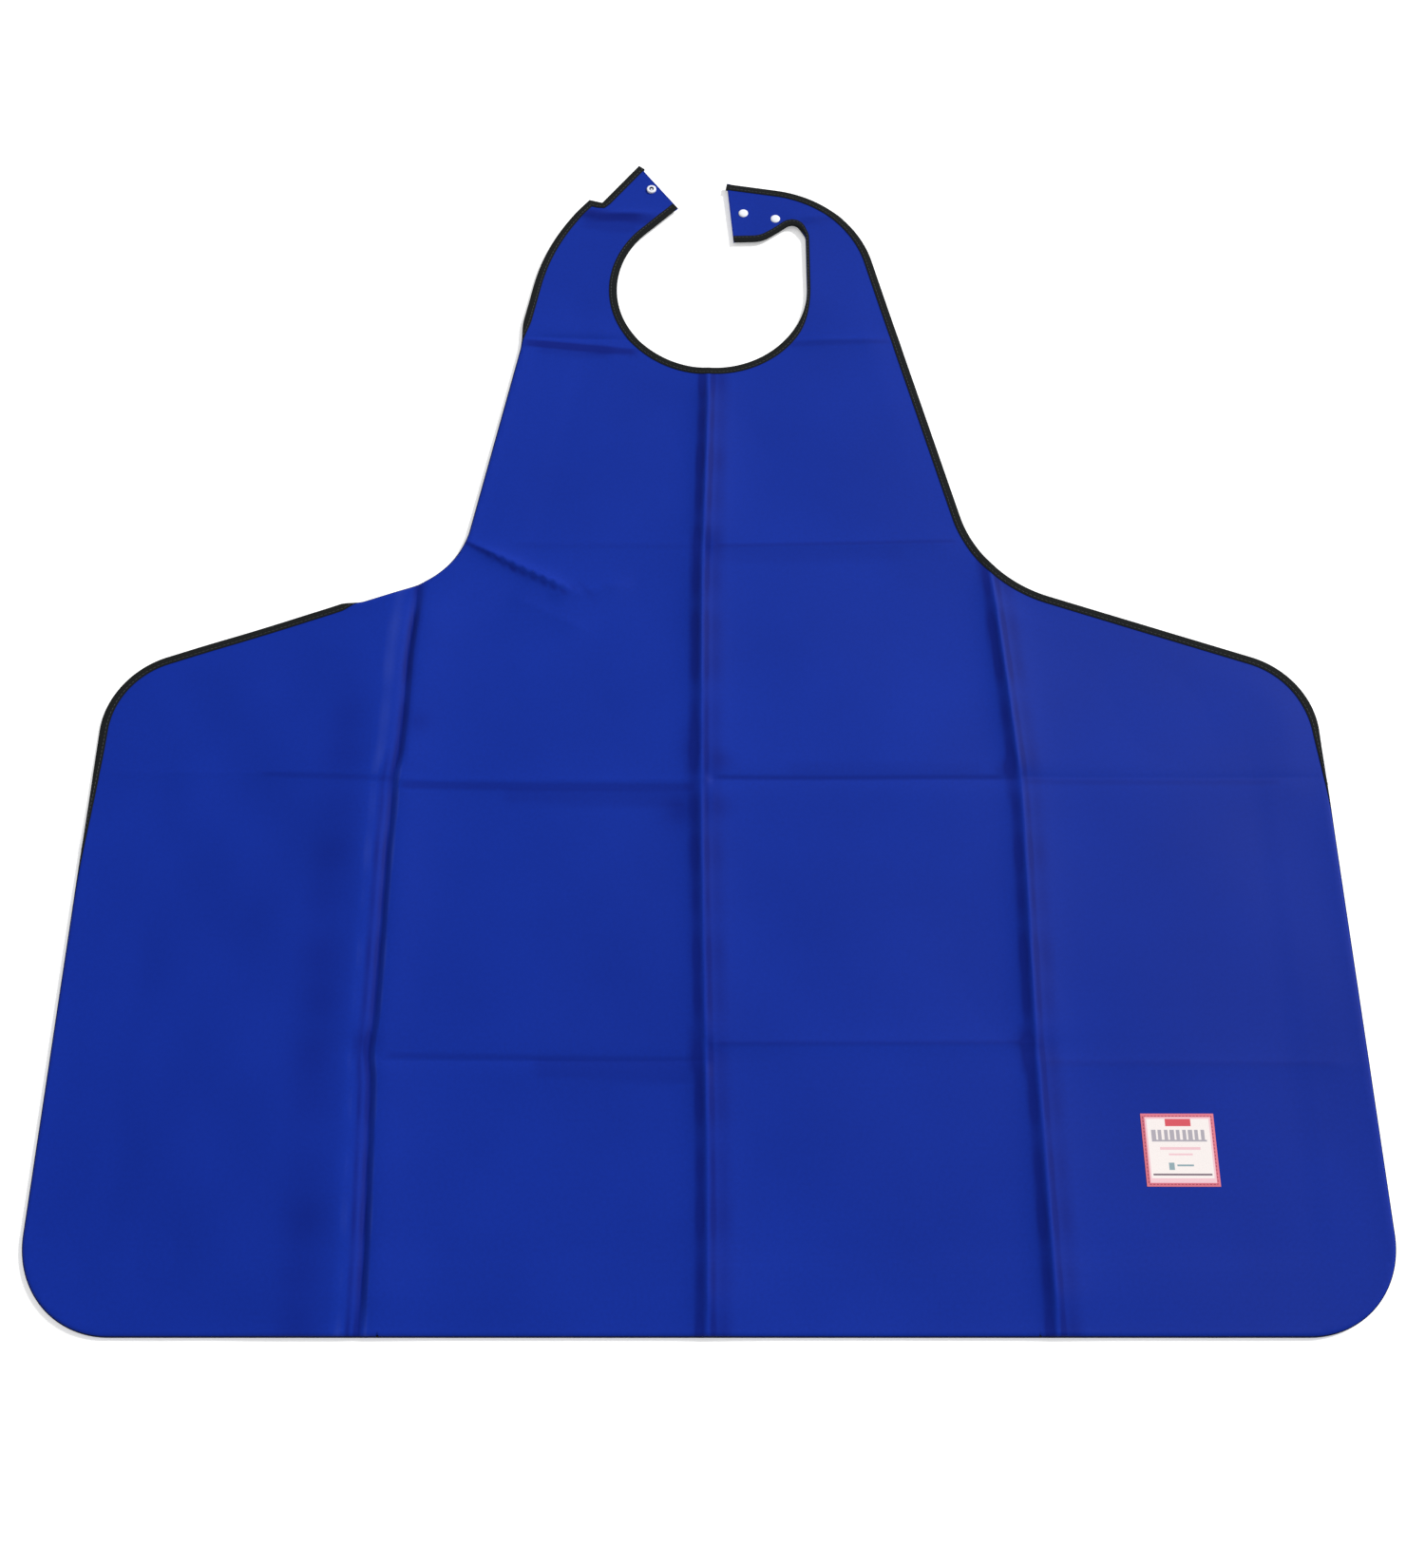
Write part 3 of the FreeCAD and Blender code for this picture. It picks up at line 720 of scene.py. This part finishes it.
def triangulated(polygon):
    """Points of the pattern and triangles between them that fill a polygon, and its border edges."""
    points = np.concatenate([polygon, inner_grid(polygon)] + edge_rings(polygon))
    outline = list(range(len(polygon)))
    result = geometry.delaunay_2d_cdt([Vector(p) for p in points], [], [outline], 1, 1e-5, True)
    flat = np.array([tuple(v) for v in result[0]])
    triangles = np.array([tuple(f) for f in result[2]])
    triangles = [tuple(f) for f in triangles[inside(polygon, flat[triangles].mean(axis=1))]]
    directed = {(f[k - 1], f[k]) for f in triangles for k in range(3)}
    border = [(a, b) for a, b in sorted(directed) if (b, a) not in directed]
    return flat, triangles, border


def cloth_piece(name, polygon):
    """A closed thin sheet over one part of the pattern."""
    flat, triangles, border = triangulated(seam_divided(polygon))
    x, y = flat[:, 0], flat[:, 1]
    z = sheet_height(x, y)
    top = np.stack([x, y, z + CLOTH / 2], axis=1)
    bottom = np.stack([x, y, z - CLOTH / 2], axis=1)
    n = len(flat)
    faces = triangles + [(c + n, b + n, a + n) for a, b, c in triangles]
    rim_start = len(faces)
    faces += [(b, a, a + n, b + n) for a, b in border]
    piece = new_object(name, np.concatenate([top, bottom]), faces, [CLOTH_MATERIAL])
    mesh = piece.data
    flat_uv(mesh, np.concatenate([flat, flat]))
    # the painted shade and painted highlight of the creases, kept on each point for the cloth's colour
    tone = mesh.attributes.new("painted_light_and_tone", "FLOAT", "POINT")
    tone.data.foreach_set("value", np.tile(painted_light_and_tone(x, y), 2).astype(np.float32))
    # the two faces take the field's own normals, so no line shows where pieces meet
    normals = sheet_normals(x, y)
    corners = np.empty(len(mesh.loops), int)
    mesh.loops.foreach_get("vertex_index", corners)
    split = np.concatenate([normals, -normals])[corners]
    for rim_face in mesh.polygons[rim_start:]:
        for k in rim_face.loop_indices:
            split[k] = rim_face.normal
    mesh.normals_split_custom_set([tuple(v) for v in split])
    return piece


# -------------------- materials
def linear(r, g, b):
    """An sRGB colour of 0 to 255 as linear light."""
    def one(v):
        v /= 255
        return v / 12.92 if v <= 0.04045 else ((v + 0.055) / 1.055) ** 2.4
    return (one(r), one(g), one(b), 1.0)


class Shading:
    """A material in the making. Each method adds nodes and gives back the output to use next."""

    def __init__(self, name):
        self.material = bpy.data.materials.new(name)
        self.material.use_nodes = True
        self.tree = self.material.node_tree

    def fill(self, sockets, values):
        """Link each named socket to the output given for it, or set it to the value given."""
        for key, value in values.items():
            if isinstance(value, bpy.types.NodeSocket):
                self.tree.links.new(value, sockets[key])
            else:
                sockets[key].default_value = value

    def node(self, kind, values, **settings):
        """A new node's outputs."""
        made = self.tree.nodes.new("ShaderNode" + kind)
        for key, value in settings.items():
            setattr(made, key, value)
        self.fill(made.inputs, values)
        return made.outputs

    def pattern(self):
        """The place on the flat pattern, in metres."""
        return self.node("UVMap", {}, uv_map="pattern")[0]

    def noise(self, place, scale, detail):
        return self.node("TexNoise", {"Vector": place, "Scale": scale, "Detail": detail})["Fac"]

    def weave(self, place, threads_per_metre):
        """A plain weave: two sets of ribs, each over and under the other."""
        scaled = self.node("VectorMath", {0: place, "Scale": threads_per_metre}, operation="SCALE")[0]
        axes = self.node("SeparateXYZ", {0: scaled})
        ribs = []
        for axis in ("X", "Y"):
            turn = self.node("Math", {0: axes[axis], 1: math.pi}, operation="MULTIPLY")[0]
            ribs.append(self.node("Math", {0: turn}, operation="SINE")[0])
        product = self.node("Math", {0: ribs[0], 1: ribs[1]}, operation="MULTIPLY")[0]
        return self.node("Math", {0: product}, operation="ABSOLUTE")[0]

    def two_tone(self, factor, dark, light, start=0.0, end=1.0):
        """A colour from dark to light as the factor goes from start to end."""
        ramp = self.tree.nodes.new("ShaderNodeValToRGB")
        for element, position, colour in zip(ramp.color_ramp.elements, (start, end), (dark, light)):
            element.position = position
            element.color = linear(*colour)
        self.tree.links.new(factor, ramp.inputs[0])
        return ramp.outputs[0]

    def mix(self, factor, first, second, blend_type="MIX"):
        """One colour mixed into another."""
        values = {0: factor, 6: first, 7: second}
        return self.node("Mix", values, data_type="RGBA", blend_type=blend_type)[2]

    def ranged(self, value, start, end, low, high):
        """The value, stretched from between start and end to between low and high."""
        values = {"Value": value, "From Min": start, "From Max": end, "To Min": low, "To Max": high}
        return self.node("MapRange", values)[0]

    def bump(self, height, strength, distance):
        return self.node("Bump", {"Height": height, "Strength": strength, "Distance": distance})[0]

    def finished(self, values):
        """The material, with its surface's sockets filled."""
        self.fill(self.tree.nodes["Principled BSDF"].inputs, values)
        return self.material


def cloth_material():
    """Smooth close-woven blue cloth, faintly glossy and mottled, with painted shade and highlight at its
    creases.
    """
    shading = Shading("apron_blue_cloth")
    place = shading.pattern()
    broad = shading.noise(place, 9.0, 3.0)
    tint = shading.two_tone(broad, CLOTH_DARK, CLOTH_LIGHT, 0.3, 0.7)
    speckled = shading.mix(0.12, tint, shading.noise(place, 420.0, 2.0), "OVERLAY")
    # the creases' painted shade (below 0) and painted highlight (above 0) are mixed into the colour
    tone = shading.node("Attribute", {}, attribute_name="painted_light_and_tone")["Fac"]
    shaded = shading.mix(shading.ranged(tone, 0.0, -1.0, 0.0, 0.72), speckled, linear(*CLOTH_PAINTED_SHADE))
    highlighted = shading.mix(shading.ranged(tone, 0.0, 1.0, 0.0, 0.3), shaded, linear(*CLOTH_PAINTED_HIGHLIGHT))
    return shading.finished({
        "Base Color": highlighted,
        "Roughness": shading.ranged(broad, 0.0, 1.0, 0.5, 0.64),
        "Normal": shading.bump(shading.weave(place, 1400.0), 0.35, 0.00008),
        "Specular IOR Level": 0.09,
        "Sheen Weight": 0.02,
        "Sheen Roughness": 0.4,
    })


def tape_material():
    """Matt black woven tape, ribbed across its width."""
    shading = Shading("binding_black_tape")
    weave = shading.weave(shading.pattern(), 1600.0)
    return shading.finished({
        "Base Color": shading.two_tone(weave, (8, 10, 11), (24, 28, 29)),
        "Normal": shading.bump(weave, 0.6, 0.00015),
        "Roughness": 0.85,
        "Specular IOR Level": 0.15,
        "Sheen Weight": 0.02,
    })


def thread_material(name, colour):
    """Twisted sewing thread."""
    shading = Shading(name)
    values = {"Vector": shading.pattern(), "Scale": 900.0, "Distortion": 0.0}
    twist = shading.node("TexWave", values, bands_direction="DIAGONAL")["Fac"]
    return shading.finished({
        "Base Color": shading.two_tone(twist, [v * 0.75 for v in colour], colour),
        "Normal": shading.bump(twist, 0.5, 0.0001),
        "Roughness": 0.6,
    })


def snap_material(name, mouth=None):
    """Glossy white moulded resin, with painted shade down a mouth given as its centre and radius in
    metres.
    """
    shading = Shading(name)
    place = shading.node("TexCoord", {})["Object"]
    noise = shading.noise(place, 900.0, 2.0)
    colour = shading.two_tone(noise, (226, 228, 236), (244, 246, 252))
    if mouth:
        centre, radius = mouth
        # painted shade inside the mouth's radius
        apart = shading.node("VectorMath", {0: place, 1: centre}, operation="DISTANCE")["Value"]
        outside = shading.ranged(apart, radius * 0.98, radius * 1.04, 0.0, 1.0)
        colour = shading.mix(outside, linear(52, 58, 96), colour)
    return shading.finished({
        "Base Color": colour,
        "Normal": shading.bump(noise, 0.1, 0.00005),
        "Roughness": 0.25,
        "Coat Weight": 0.3,
    })


def label_material(name, colour):
    """Satin-woven label ribbon in one colour."""
    shading = Shading(name)
    weave = shading.weave(shading.pattern(), 3000.0)
    return shading.finished({
        "Base Color": shading.two_tone(weave, [v * 0.9 for v in colour], colour),
        "Normal": shading.bump(weave, 0.3, 0.00005),
        "Roughness": 0.55,
        "Sheen Weight": 0.1,
    })


CLOTH_DARK = (8, 40, 140)
CLOTH_LIGHT = (10, 43, 147)
# the colours of the painted shade and the painted highlight at the creases
CLOTH_PAINTED_SHADE = (0, 17, 104)
CLOTH_PAINTED_HIGHLIGHT = (96, 116, 196)
CLOTH_MATERIAL = cloth_material()
TAPE_MATERIAL = tape_material()
BLACK_THREAD = thread_material("thread_black", (52, 56, 58))
ROSE_THREAD = thread_material("thread_rose", (206, 92, 112))
LABEL_COLOURS = {
    "white": (246, 237, 234),
    "rose": (216, 108, 128),
    "red": (214, 66, 82),
    "grey": (172, 166, 176),
    "pink": (240, 196, 204),
    "teal": (138, 164, 172),
    "dark": (110, 88, 104),
}
LABEL_MATERIALS = [label_material("label_" + name, colour) for name, colour in LABEL_COLOURS.items()]

# -------------------- cloth pieces
LEFT_HALF = clip(CLOTH_LOOP, 0, 0.0, False)
RIGHT_HALF = clip(CLOTH_LOOP, 0, 0.0, True)
MIDDLE = clip(clip(CLOTH_LOOP, 0, WING_SEAM, False), 0, -WING_SEAM, True)

CLOTH_PARTS = {
    "skirt": clip(MIDDLE, 1, BIB_SEAM, False),
    "left_wing": clip(CLOTH_LOOP, 0, -WING_SEAM, False),
    "right_wing": clip(CLOTH_LOOP, 0, WING_SEAM, True),
    "bib": clip(clip(CLOTH_LOOP, 1, BIB_SEAM, True), 1, STRAP_SEAM, False),
    "left_strap": clip(LEFT_HALF, 1, STRAP_SEAM, True),
    "right_strap": clip(RIGHT_HALF, 1, STRAP_SEAM, True),
}
# each body that folds: its parent, and where the fold starts and ends
FOLDS = {
    "left_wing": ("skirt", (-WING_CREASE + WING_TURN, 0, 0), (-WING_CREASE - WING_TURN, 0, 0)),
    "right_wing": ("skirt", (WING_CREASE - WING_TURN, 0, 0), (WING_CREASE + WING_TURN, 0, 0)),
    "bib": ("skirt", (0, BIB_SEAM, 0), (0, BIB_CREASE + BIB_TURN_OUT, 0)),
    "left_strap": ("bib", (0, STRAP_SEAM, 0), (0, STRAP_CREASE + STRAP_TURN, 0)),
    "right_strap": ("bib", (0, STRAP_SEAM, 0), (0, STRAP_CREASE + STRAP_TURN, 0)),
}


def carry(piece, body):
    """A piece of the skirt rides on the skirt's body; any other piece stays in place, its transform baked
    in.
    """
    if body not in FOLDS:
        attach(piece, body)
        return
    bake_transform(piece)


for body, polygon in CLOTH_PARTS.items():
    piece = cloth_piece("cloth_" + body, polygon)
    carry(piece, body)
    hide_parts("skirt_centre_panel" if body == "skirt" else body + "_panel")


# -------------------- binding tape
# points of the tape's section: the one on the sheet's edge, and the last, at its inner end underneath
EDGE_POINT = 6
LAST_POINT = 11


def tape_section(curl):
    """The folded tape's section, as (inward, up) from the sheet's edge and middle, for one curl."""
    shown = max(TAPE_WIDTH * (1 - curl), 0.6)
    under = TAPE_WIDTH + 1.0 * curl
    half = CLOTH / 2
    outside = half + TAPE
    return [
        (shown, half - 0.15),
        (shown, outside - 0.08),
        (shown * 0.93, outside + 0.05),
        (shown * 0.55, outside),
        (shown * 0.2, outside),
        (0.45 * min(shown, 1.0), half + 0.1),
        (0.0, 0.0),
        (0.45, -half - 0.1),
        (1.6, -outside),
        (under * 0.5, -outside),
        (under, -outside),
        (under, -half + 0.1),
    ]


def tape_piece(name, points, curls):
    """The tape swept along one stretch of the edge, following the sheet's relief."""
    inward = inward_directions(points, False)
    count = len(tape_section(0.0))
    offsets = np.array([tape_section(c) for c in curls])
    flat = points[:, None] + inward[:, None] * offsets[..., :1]
    x, y = flat[..., 0].ravel(), flat[..., 1].ravel()
    height = sheet_height(x, y).reshape(flat.shape[:2])
    z = np.maximum(height + offsets[..., 1], 0.02)
    # a curled edge carries its tape flat underneath
    lying = np.full(count, 0.05)
    lying[EDGE_POINT] = 0.5
    lying[LAST_POINT] = 1.3
    curl = curls[:, None]
    z = np.where(np.arange(count) >= EDGE_POINT, z * (1 - curl) + lying * curl, z)
    vertices = np.concatenate([flat, z[..., None]], axis=2).reshape(-1, 3)
    faces = []
    for i in range(len(points) - 1):
        for k in range(count):
            m = (k + 1) % count
            faces.append((i * count + k, i * count + m, (i + 1) * count + m, (i + 1) * count + k))
    faces.append(tuple(range(count - 1, -1, -1)))
    last = (len(points) - 1) * count
    faces.append(tuple(last + k for k in range(count)))
    piece = new_object(name, vertices, faces, [TAPE_MATERIAL])
    run = np.concatenate([[0], np.cumsum(np.linalg.norm(np.diff(points, axis=0), axis=1))])
    around = np.array(tape_section(0.0))
    girth = np.concatenate([[0], np.cumsum(np.linalg.norm(np.diff(around, axis=0), axis=1))])
    uv = np.stack(np.meshgrid(run, girth, indexing="ij"), axis=-1).reshape(-1, 2)
    flat_uv(piece.data, uv)
    piece.data.set_sharp_from_angle(angle=math.radians(50))
    return piece


def stretch(edge, kind, across, upward):
    """The points of an edge that lie in a range across and upward, and their curl."""
    near = 1e-6
    points = np.array([p for p in edge if across[0] - near <= p[0] <= across[1] + near
                       and upward[0] - near <= p[1] <= upward[1] + near])
    return points, curl_at(points, np.array([kind] * len(points)))


def cut_line(edge, axis, limit):
    """The edge with a point added where it crosses a line, so that stretches end exactly on seams."""
    out = [edge[0]]
    for a, b in zip(edge, edge[1:]):
        da, db = a[axis] - limit, b[axis] - limit
        if da * db < 0:
            crossing = a + (b - a) * da / (da - db)
            crossing[axis] = limit
            out.append(crossing)
        out.append(b)
    return out


for axis, limit in ((0, -WING_SEAM), (0, WING_SEAM), (1, BIB_SEAM), (1, STRAP_SEAM)):
    OUTER = cut_line(OUTER, axis, limit)
    NECK = cut_line(NECK, axis, limit)

LEFT = (-SIDE, 0.0)
RIGHT = (0.0, SIDE)
BOTH = (-SIDE, SIDE)
AT_BIB = (BIB_SEAM, STRAP_SEAM)
AT_STRAPS = (STRAP_SEAM, TIP)
# each stretch of tape: name, CAD node, kind of edge, body, its range across and upward
TAPES = [
    ("hem", "hem_binding", "outer", "skirt", (-WING_SEAM, WING_SEAM), (HEM, 0.0)),
    ("left_armhole", "left_armhole_binding", "outer", "skirt", (-WING_SEAM, 0.0), (0.0, BIB_SEAM)),
    ("right_armhole", "right_armhole_binding", "outer", "skirt", (0.0, WING_SEAM), (0.0, BIB_SEAM)),
    ("left_wing", "left_wing_binding", "outer", "left_wing", (-SIDE, -WING_SEAM), (HEM, TIP)),
    ("right_wing", "right_wing_binding", "outer", "right_wing", (WING_SEAM, SIDE), (HEM, TIP)),
    ("left_bib", "left_bib_binding", "outer", "bib", LEFT, AT_BIB),
    ("right_bib", "right_bib_binding", "outer", "bib", RIGHT, AT_BIB),
    ("left_strap", "left_strap_binding", "outer", "left_strap", LEFT, AT_STRAPS),
    ("right_strap", "right_strap_binding", "outer", "right_strap", RIGHT, AT_STRAPS),
    ("neck_front", "neck_binding_front", "neck", "bib", BOTH, AT_BIB),
    ("neck_left", "neck_binding_left", "neck", "left_strap", LEFT, AT_STRAPS),
    ("neck_right", "neck_binding_right", "neck", "right_strap", RIGHT, AT_STRAPS),
]


# -------------------- stitching
def stitch_row(name, points, heights, pitch, length, radius, material, face=1):
    """A row of stitches along a line: short threads that dip into the work at both ends."""
    run = np.concatenate([[0], np.cumsum(np.linalg.norm(np.diff(points, axis=0), axis=1))])
    line = np.column_stack([points, heights])
    profile = ((-0.5, 0.0), (-0.38, 0.75), (-0.15, 1.0), (0.15, 1.0), (0.38, 0.75), (0.5, 0.0))
    sides = 6
    angles = 2 * np.pi * np.arange(sides) / sides
    vertices, faces, uv = [], [], []
    for i in range(int(run[-1] / pitch)):
        base = len(vertices)
        reach = (i + 0.5) * pitch + np.array([t for t, _ in profile]) * length
        centres = np.stack([np.interp(reach, run, line[:, k]) for k in range(3)], axis=1)
        along = centres[-1, :2] - centres[0, :2]
        along /= max(np.linalg.norm(along), 1e-9)
        side = np.array([-along[1], along[0], 0.0])
        for (x, y, z), (_, lift), at in zip(centres, profile, reach):
            middle = np.array([x, y, z + face * radius * (lift - 0.6)])
            thick = radius * (0.55 + 0.45 * lift)
            for angle in angles:
                upward = np.array([0, 0, math.sin(angle)])
                vertices.append(middle + thick * (side * math.cos(angle) + upward))
                uv.append((at, angle * radius))
        for j in range(len(profile) - 1):
            a, b = base + j * sides, base + (j + 1) * sides
            faces += [(a + k, a + (k + 1) % sides, b + (k + 1) % sides, b + k) for k in range(sides)]
        end = base + (len(profile) - 1) * sides
        faces.append(tuple(base + k for k in reversed(range(sides))))
        faces.append(tuple(end + k for k in range(sides)))
    piece = new_object(name, vertices, faces, [material])
    flat_uv(piece.data, uv)
    return piece


# stitches run this far inside the tape's inner edge
SEAM_INSET = 1.7


def tape_stitches(name, body, points, curls):
    """Stitches near the tape's inner edge, on its face where it shows and on its back all along."""
    inward = inward_directions(points, False)
    thick = CLOTH / 2 + TAPE
    back = points + inward * (TAPE_WIDTH + curls - SEAM_INSET)[:, None]
    back_height = (sheet_height(back[:, 0], back[:, 1]) - thick) * (1 - curls) + 0.05 * curls
    rows = [stitch_row("stitch_back_" + name, back, back_height, 3.2, 2.5, 0.2, BLACK_THREAD, face=-1)]
    shows = curls < 0.7
    face = (points + inward * np.maximum(TAPE_WIDTH * (1 - curls) - SEAM_INSET, 0.5)[:, None])[shows]
    if len(face) > 4:
        height = sheet_height(face[:, 0], face[:, 1]) + thick
        rows.append(stitch_row("stitch_" + name, face, height, 3.2, 2.5, 0.24, BLACK_THREAD))
    for row in rows:
        carry(row, body)


for name, node, kind, body, across, upward in TAPES:
    points, curls = stretch(NECK if kind == "neck" else OUTER, kind, across, upward)
    piece = tape_piece("tape_" + name, points, curls)
    carry(piece, body)
    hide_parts(node)
    tape_stitches(name, body, points, curls)


# -------------------- press studs
def press_studs():
    """The CAD press studs, carried over in resin, with painted shade down the socket's mouth."""
    mouth_radius = 0.0019 * 1.06
    low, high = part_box("left_snap_socket")
    mouth = ((low[0] + high[0]) / 2, (low[1] + high[1]) / 2, high[2])
    plain = snap_material("snap_white_resin")
    socket = snap_material("snap_socket_resin", (mouth, mouth_radius))
    for node in ("left_snap_socket", "left_snap_cap", "right_snap_cap_1", "right_snap_cap_2",
                 "right_snap_stud_1", "right_snap_stud_2"):
        snap = bpy.data.objects[node]
        resin = socket if node == "left_snap_socket" else plain
        if not snap.material_slots:
            snap.data.materials.append(resin)
        for material_slot in snap.material_slots:
            material_slot.material = resin


press_studs()


# -------------------- label
LABEL_MARKS = [
    # colour, left, bottom, right, top as fractions of the label
    ("rose", 0.0, 0.0, 1.0, 1.0),
    ("pink", 0.05, 0.05, 0.95, 0.95),
    ("white", 0.08, 0.07, 0.92, 0.93),
    ("red", 0.33, 0.83, 0.67, 0.93),
    *[("grey", 0.13 + 0.083 * k, 0.63, 0.185 + 0.083 * k, 0.77) for k in range(9)],
    ("grey", 0.13, 0.615, 0.87, 0.64),
    ("pink", 0.22, 0.5, 0.78, 0.54),
    ("pink", 0.34, 0.42, 0.66, 0.45),
    ("teal", 0.32, 0.22, 0.4, 0.33),
    ("teal", 0.44, 0.27, 0.66, 0.3),
    ("pink", 0.07, 0.07, 0.93, 0.11),
    ("dark", 0.1, 0.15, 0.9, 0.17),
]


def label_colour(u, v):
    """The colour of the last mark that covers a place on the label, given as fractions of its sides."""
    covering = [mark for mark, left, base, right, head in LABEL_MARKS
                if left <= u <= right and base <= v <= head]
    return covering[-1]


def label_faces(cells):
    """The faces of a closed square sheet of cells, and the number of each face's colour."""
    names = list(LABEL_COLOURS)
    row = cells + 1
    under = row * row
    faces, colours = [], []
    for i in range(cells):
        for j in range(cells):
            a = i * row + j
            b = a + row
            faces.append((a, b, b + 1, a + 1))
            faces.append((a + 1 + under, b + 1 + under, b + under, a + under))
            colour = label_colour((i + 0.5) / cells, (j + 0.5) / cells)
            colours += [names.index(colour), names.index("white")]
    ring = ([(k, 0) for k in range(cells)] + [(cells, k) for k in range(cells)]
            + [(k, cells) for k in range(cells, 0, -1)] + [(0, k) for k in range(cells, 0, -1)])
    rim = [i * row + j for i, j in ring]
    for a, b in zip(rim, rim[1:] + rim[:1]):
        faces.append((b, a, a + under, b + under))
        colours.append(names.index("rose"))
    return faces, colours


def label_patch():
    """The sewn label, lying on the wing's relief, its print as coloured cells of ribbon."""
    low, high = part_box("label_patch")
    low, high = np.array(low) / MM, np.array(high) / MM
    cells = 80
    fractions = np.linspace(0, 1, cells + 1)
    grid = np.stack(np.meshgrid(fractions, fractions, indexing="ij"), axis=-1).reshape(-1, 2)
    flat = low[:2] + grid * (high[:2] - low[:2])
    z = sheet_height(flat[:, 0], flat[:, 1]) + CLOTH / 2
    puff = 0.25 * smooth(0.0, 0.06, np.minimum(grid, 1 - grid).min(axis=1))
    top = np.column_stack([flat, z + 0.25 + puff])
    bottom = np.column_stack([flat, z - 0.1])
    faces, colours = label_faces(cells)
    piece = new_object("label_woven", np.concatenate([top, bottom]), faces, LABEL_MATERIALS)
    piece.data.polygons.foreach_set("material_index", colours)
    flat_uv(piece.data, np.concatenate([flat, flat]))
    piece.data.set_sharp_from_angle(angle=math.radians(50))
    carry(piece, "right_wing")
    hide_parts("label_patch")
    label_stitches(low, high)


def label_stitches(low, high):
    """The row of stitches round the label, just inside its edge."""
    sew = 1.6
    left, base = low[:2] + sew
    right, head = high[:2] - sew
    square = [(left, base), (right, base), (right, head), (left, head), (left, base)]
    line = np.array(divided([np.array(corner) for corner in square]))
    heights = sheet_height(line[:, 0], line[:, 1]) + CLOTH / 2 + 0.42
    stitches = stitch_row("stitch_label", line, heights, 2.4, 1.8, 0.2, ROSE_THREAD)
    carry(stitches, "right_wing")


label_patch()


# -------------------- studio
def studio():
    """A wide white floor, a hair below the apron, and even white light from all round."""
    reach = 40.0
    below = -0.0003
    corners = [(-reach, -reach, below), (reach, -reach, below), (reach, reach, below),
               (-reach, reach, below)]
    mesh = bpy.data.meshes.new("studio_floor")
    mesh.from_pydata(corners, [], [(0, 1, 2, 3)])
    floor = bpy.data.objects.new("studio_floor", mesh)
    bpy.context.scene.collection.objects.link(floor)
    mesh.materials.append(Shading("studio_white").finished({
        "Base Color": (0.95, 0.95, 0.95, 1),
        "Emission Color": (1, 1, 1, 1),
        "Emission Strength": 0.3,
        "Roughness": 0.9,
        "Specular IOR Level": 0.0,
    }))
    world = bpy.data.worlds.new("studio")
    world.use_nodes = True
    world.node_tree.nodes["Background"].inputs[0].default_value = (1, 1, 1, 1)
    world.node_tree.nodes["Background"].inputs[1].default_value = 0.55
    bpy.context.scene.view_settings.view_transform = "Standard"
    bpy.context.scene.world = world


def far_light(name, come_from, strength, softness):
    """A large soft light far away, so it lights the whole sheet alike."""
    data = bpy.data.lights.new(name, "SUN")
    data.energy = strength
    data.angle = math.radians(softness)
    light = bpy.data.objects.new(name, data)
    light.rotation_euler = (-Vector(come_from)).to_track_quat("-Z", "Y").to_euler()
    bpy.context.scene.collection.objects.link(light)


def camera():
    """A view from beyond the hem, 68 degrees above the table."""
    aim = Vector((0.0023, -0.0936, 0.0))
    tilt = math.radians(21.7)
    distance = 1.211
    data = bpy.data.cameras.new("camera")
    data.lens = 37.55
    data.sensor_width = 36.0
    eye = bpy.data.objects.new("camera", data)
    eye.location = aim + Vector((0, -math.sin(tilt), math.cos(tilt))) * distance
    eye.rotation_euler = (tilt, 0, 0)
    bpy.context.scene.collection.objects.link(eye)
    bpy.context.scene.camera = eye


studio()
far_light("key", (1.0, 0.7, 0.85), 3.4, 14.0)
camera()
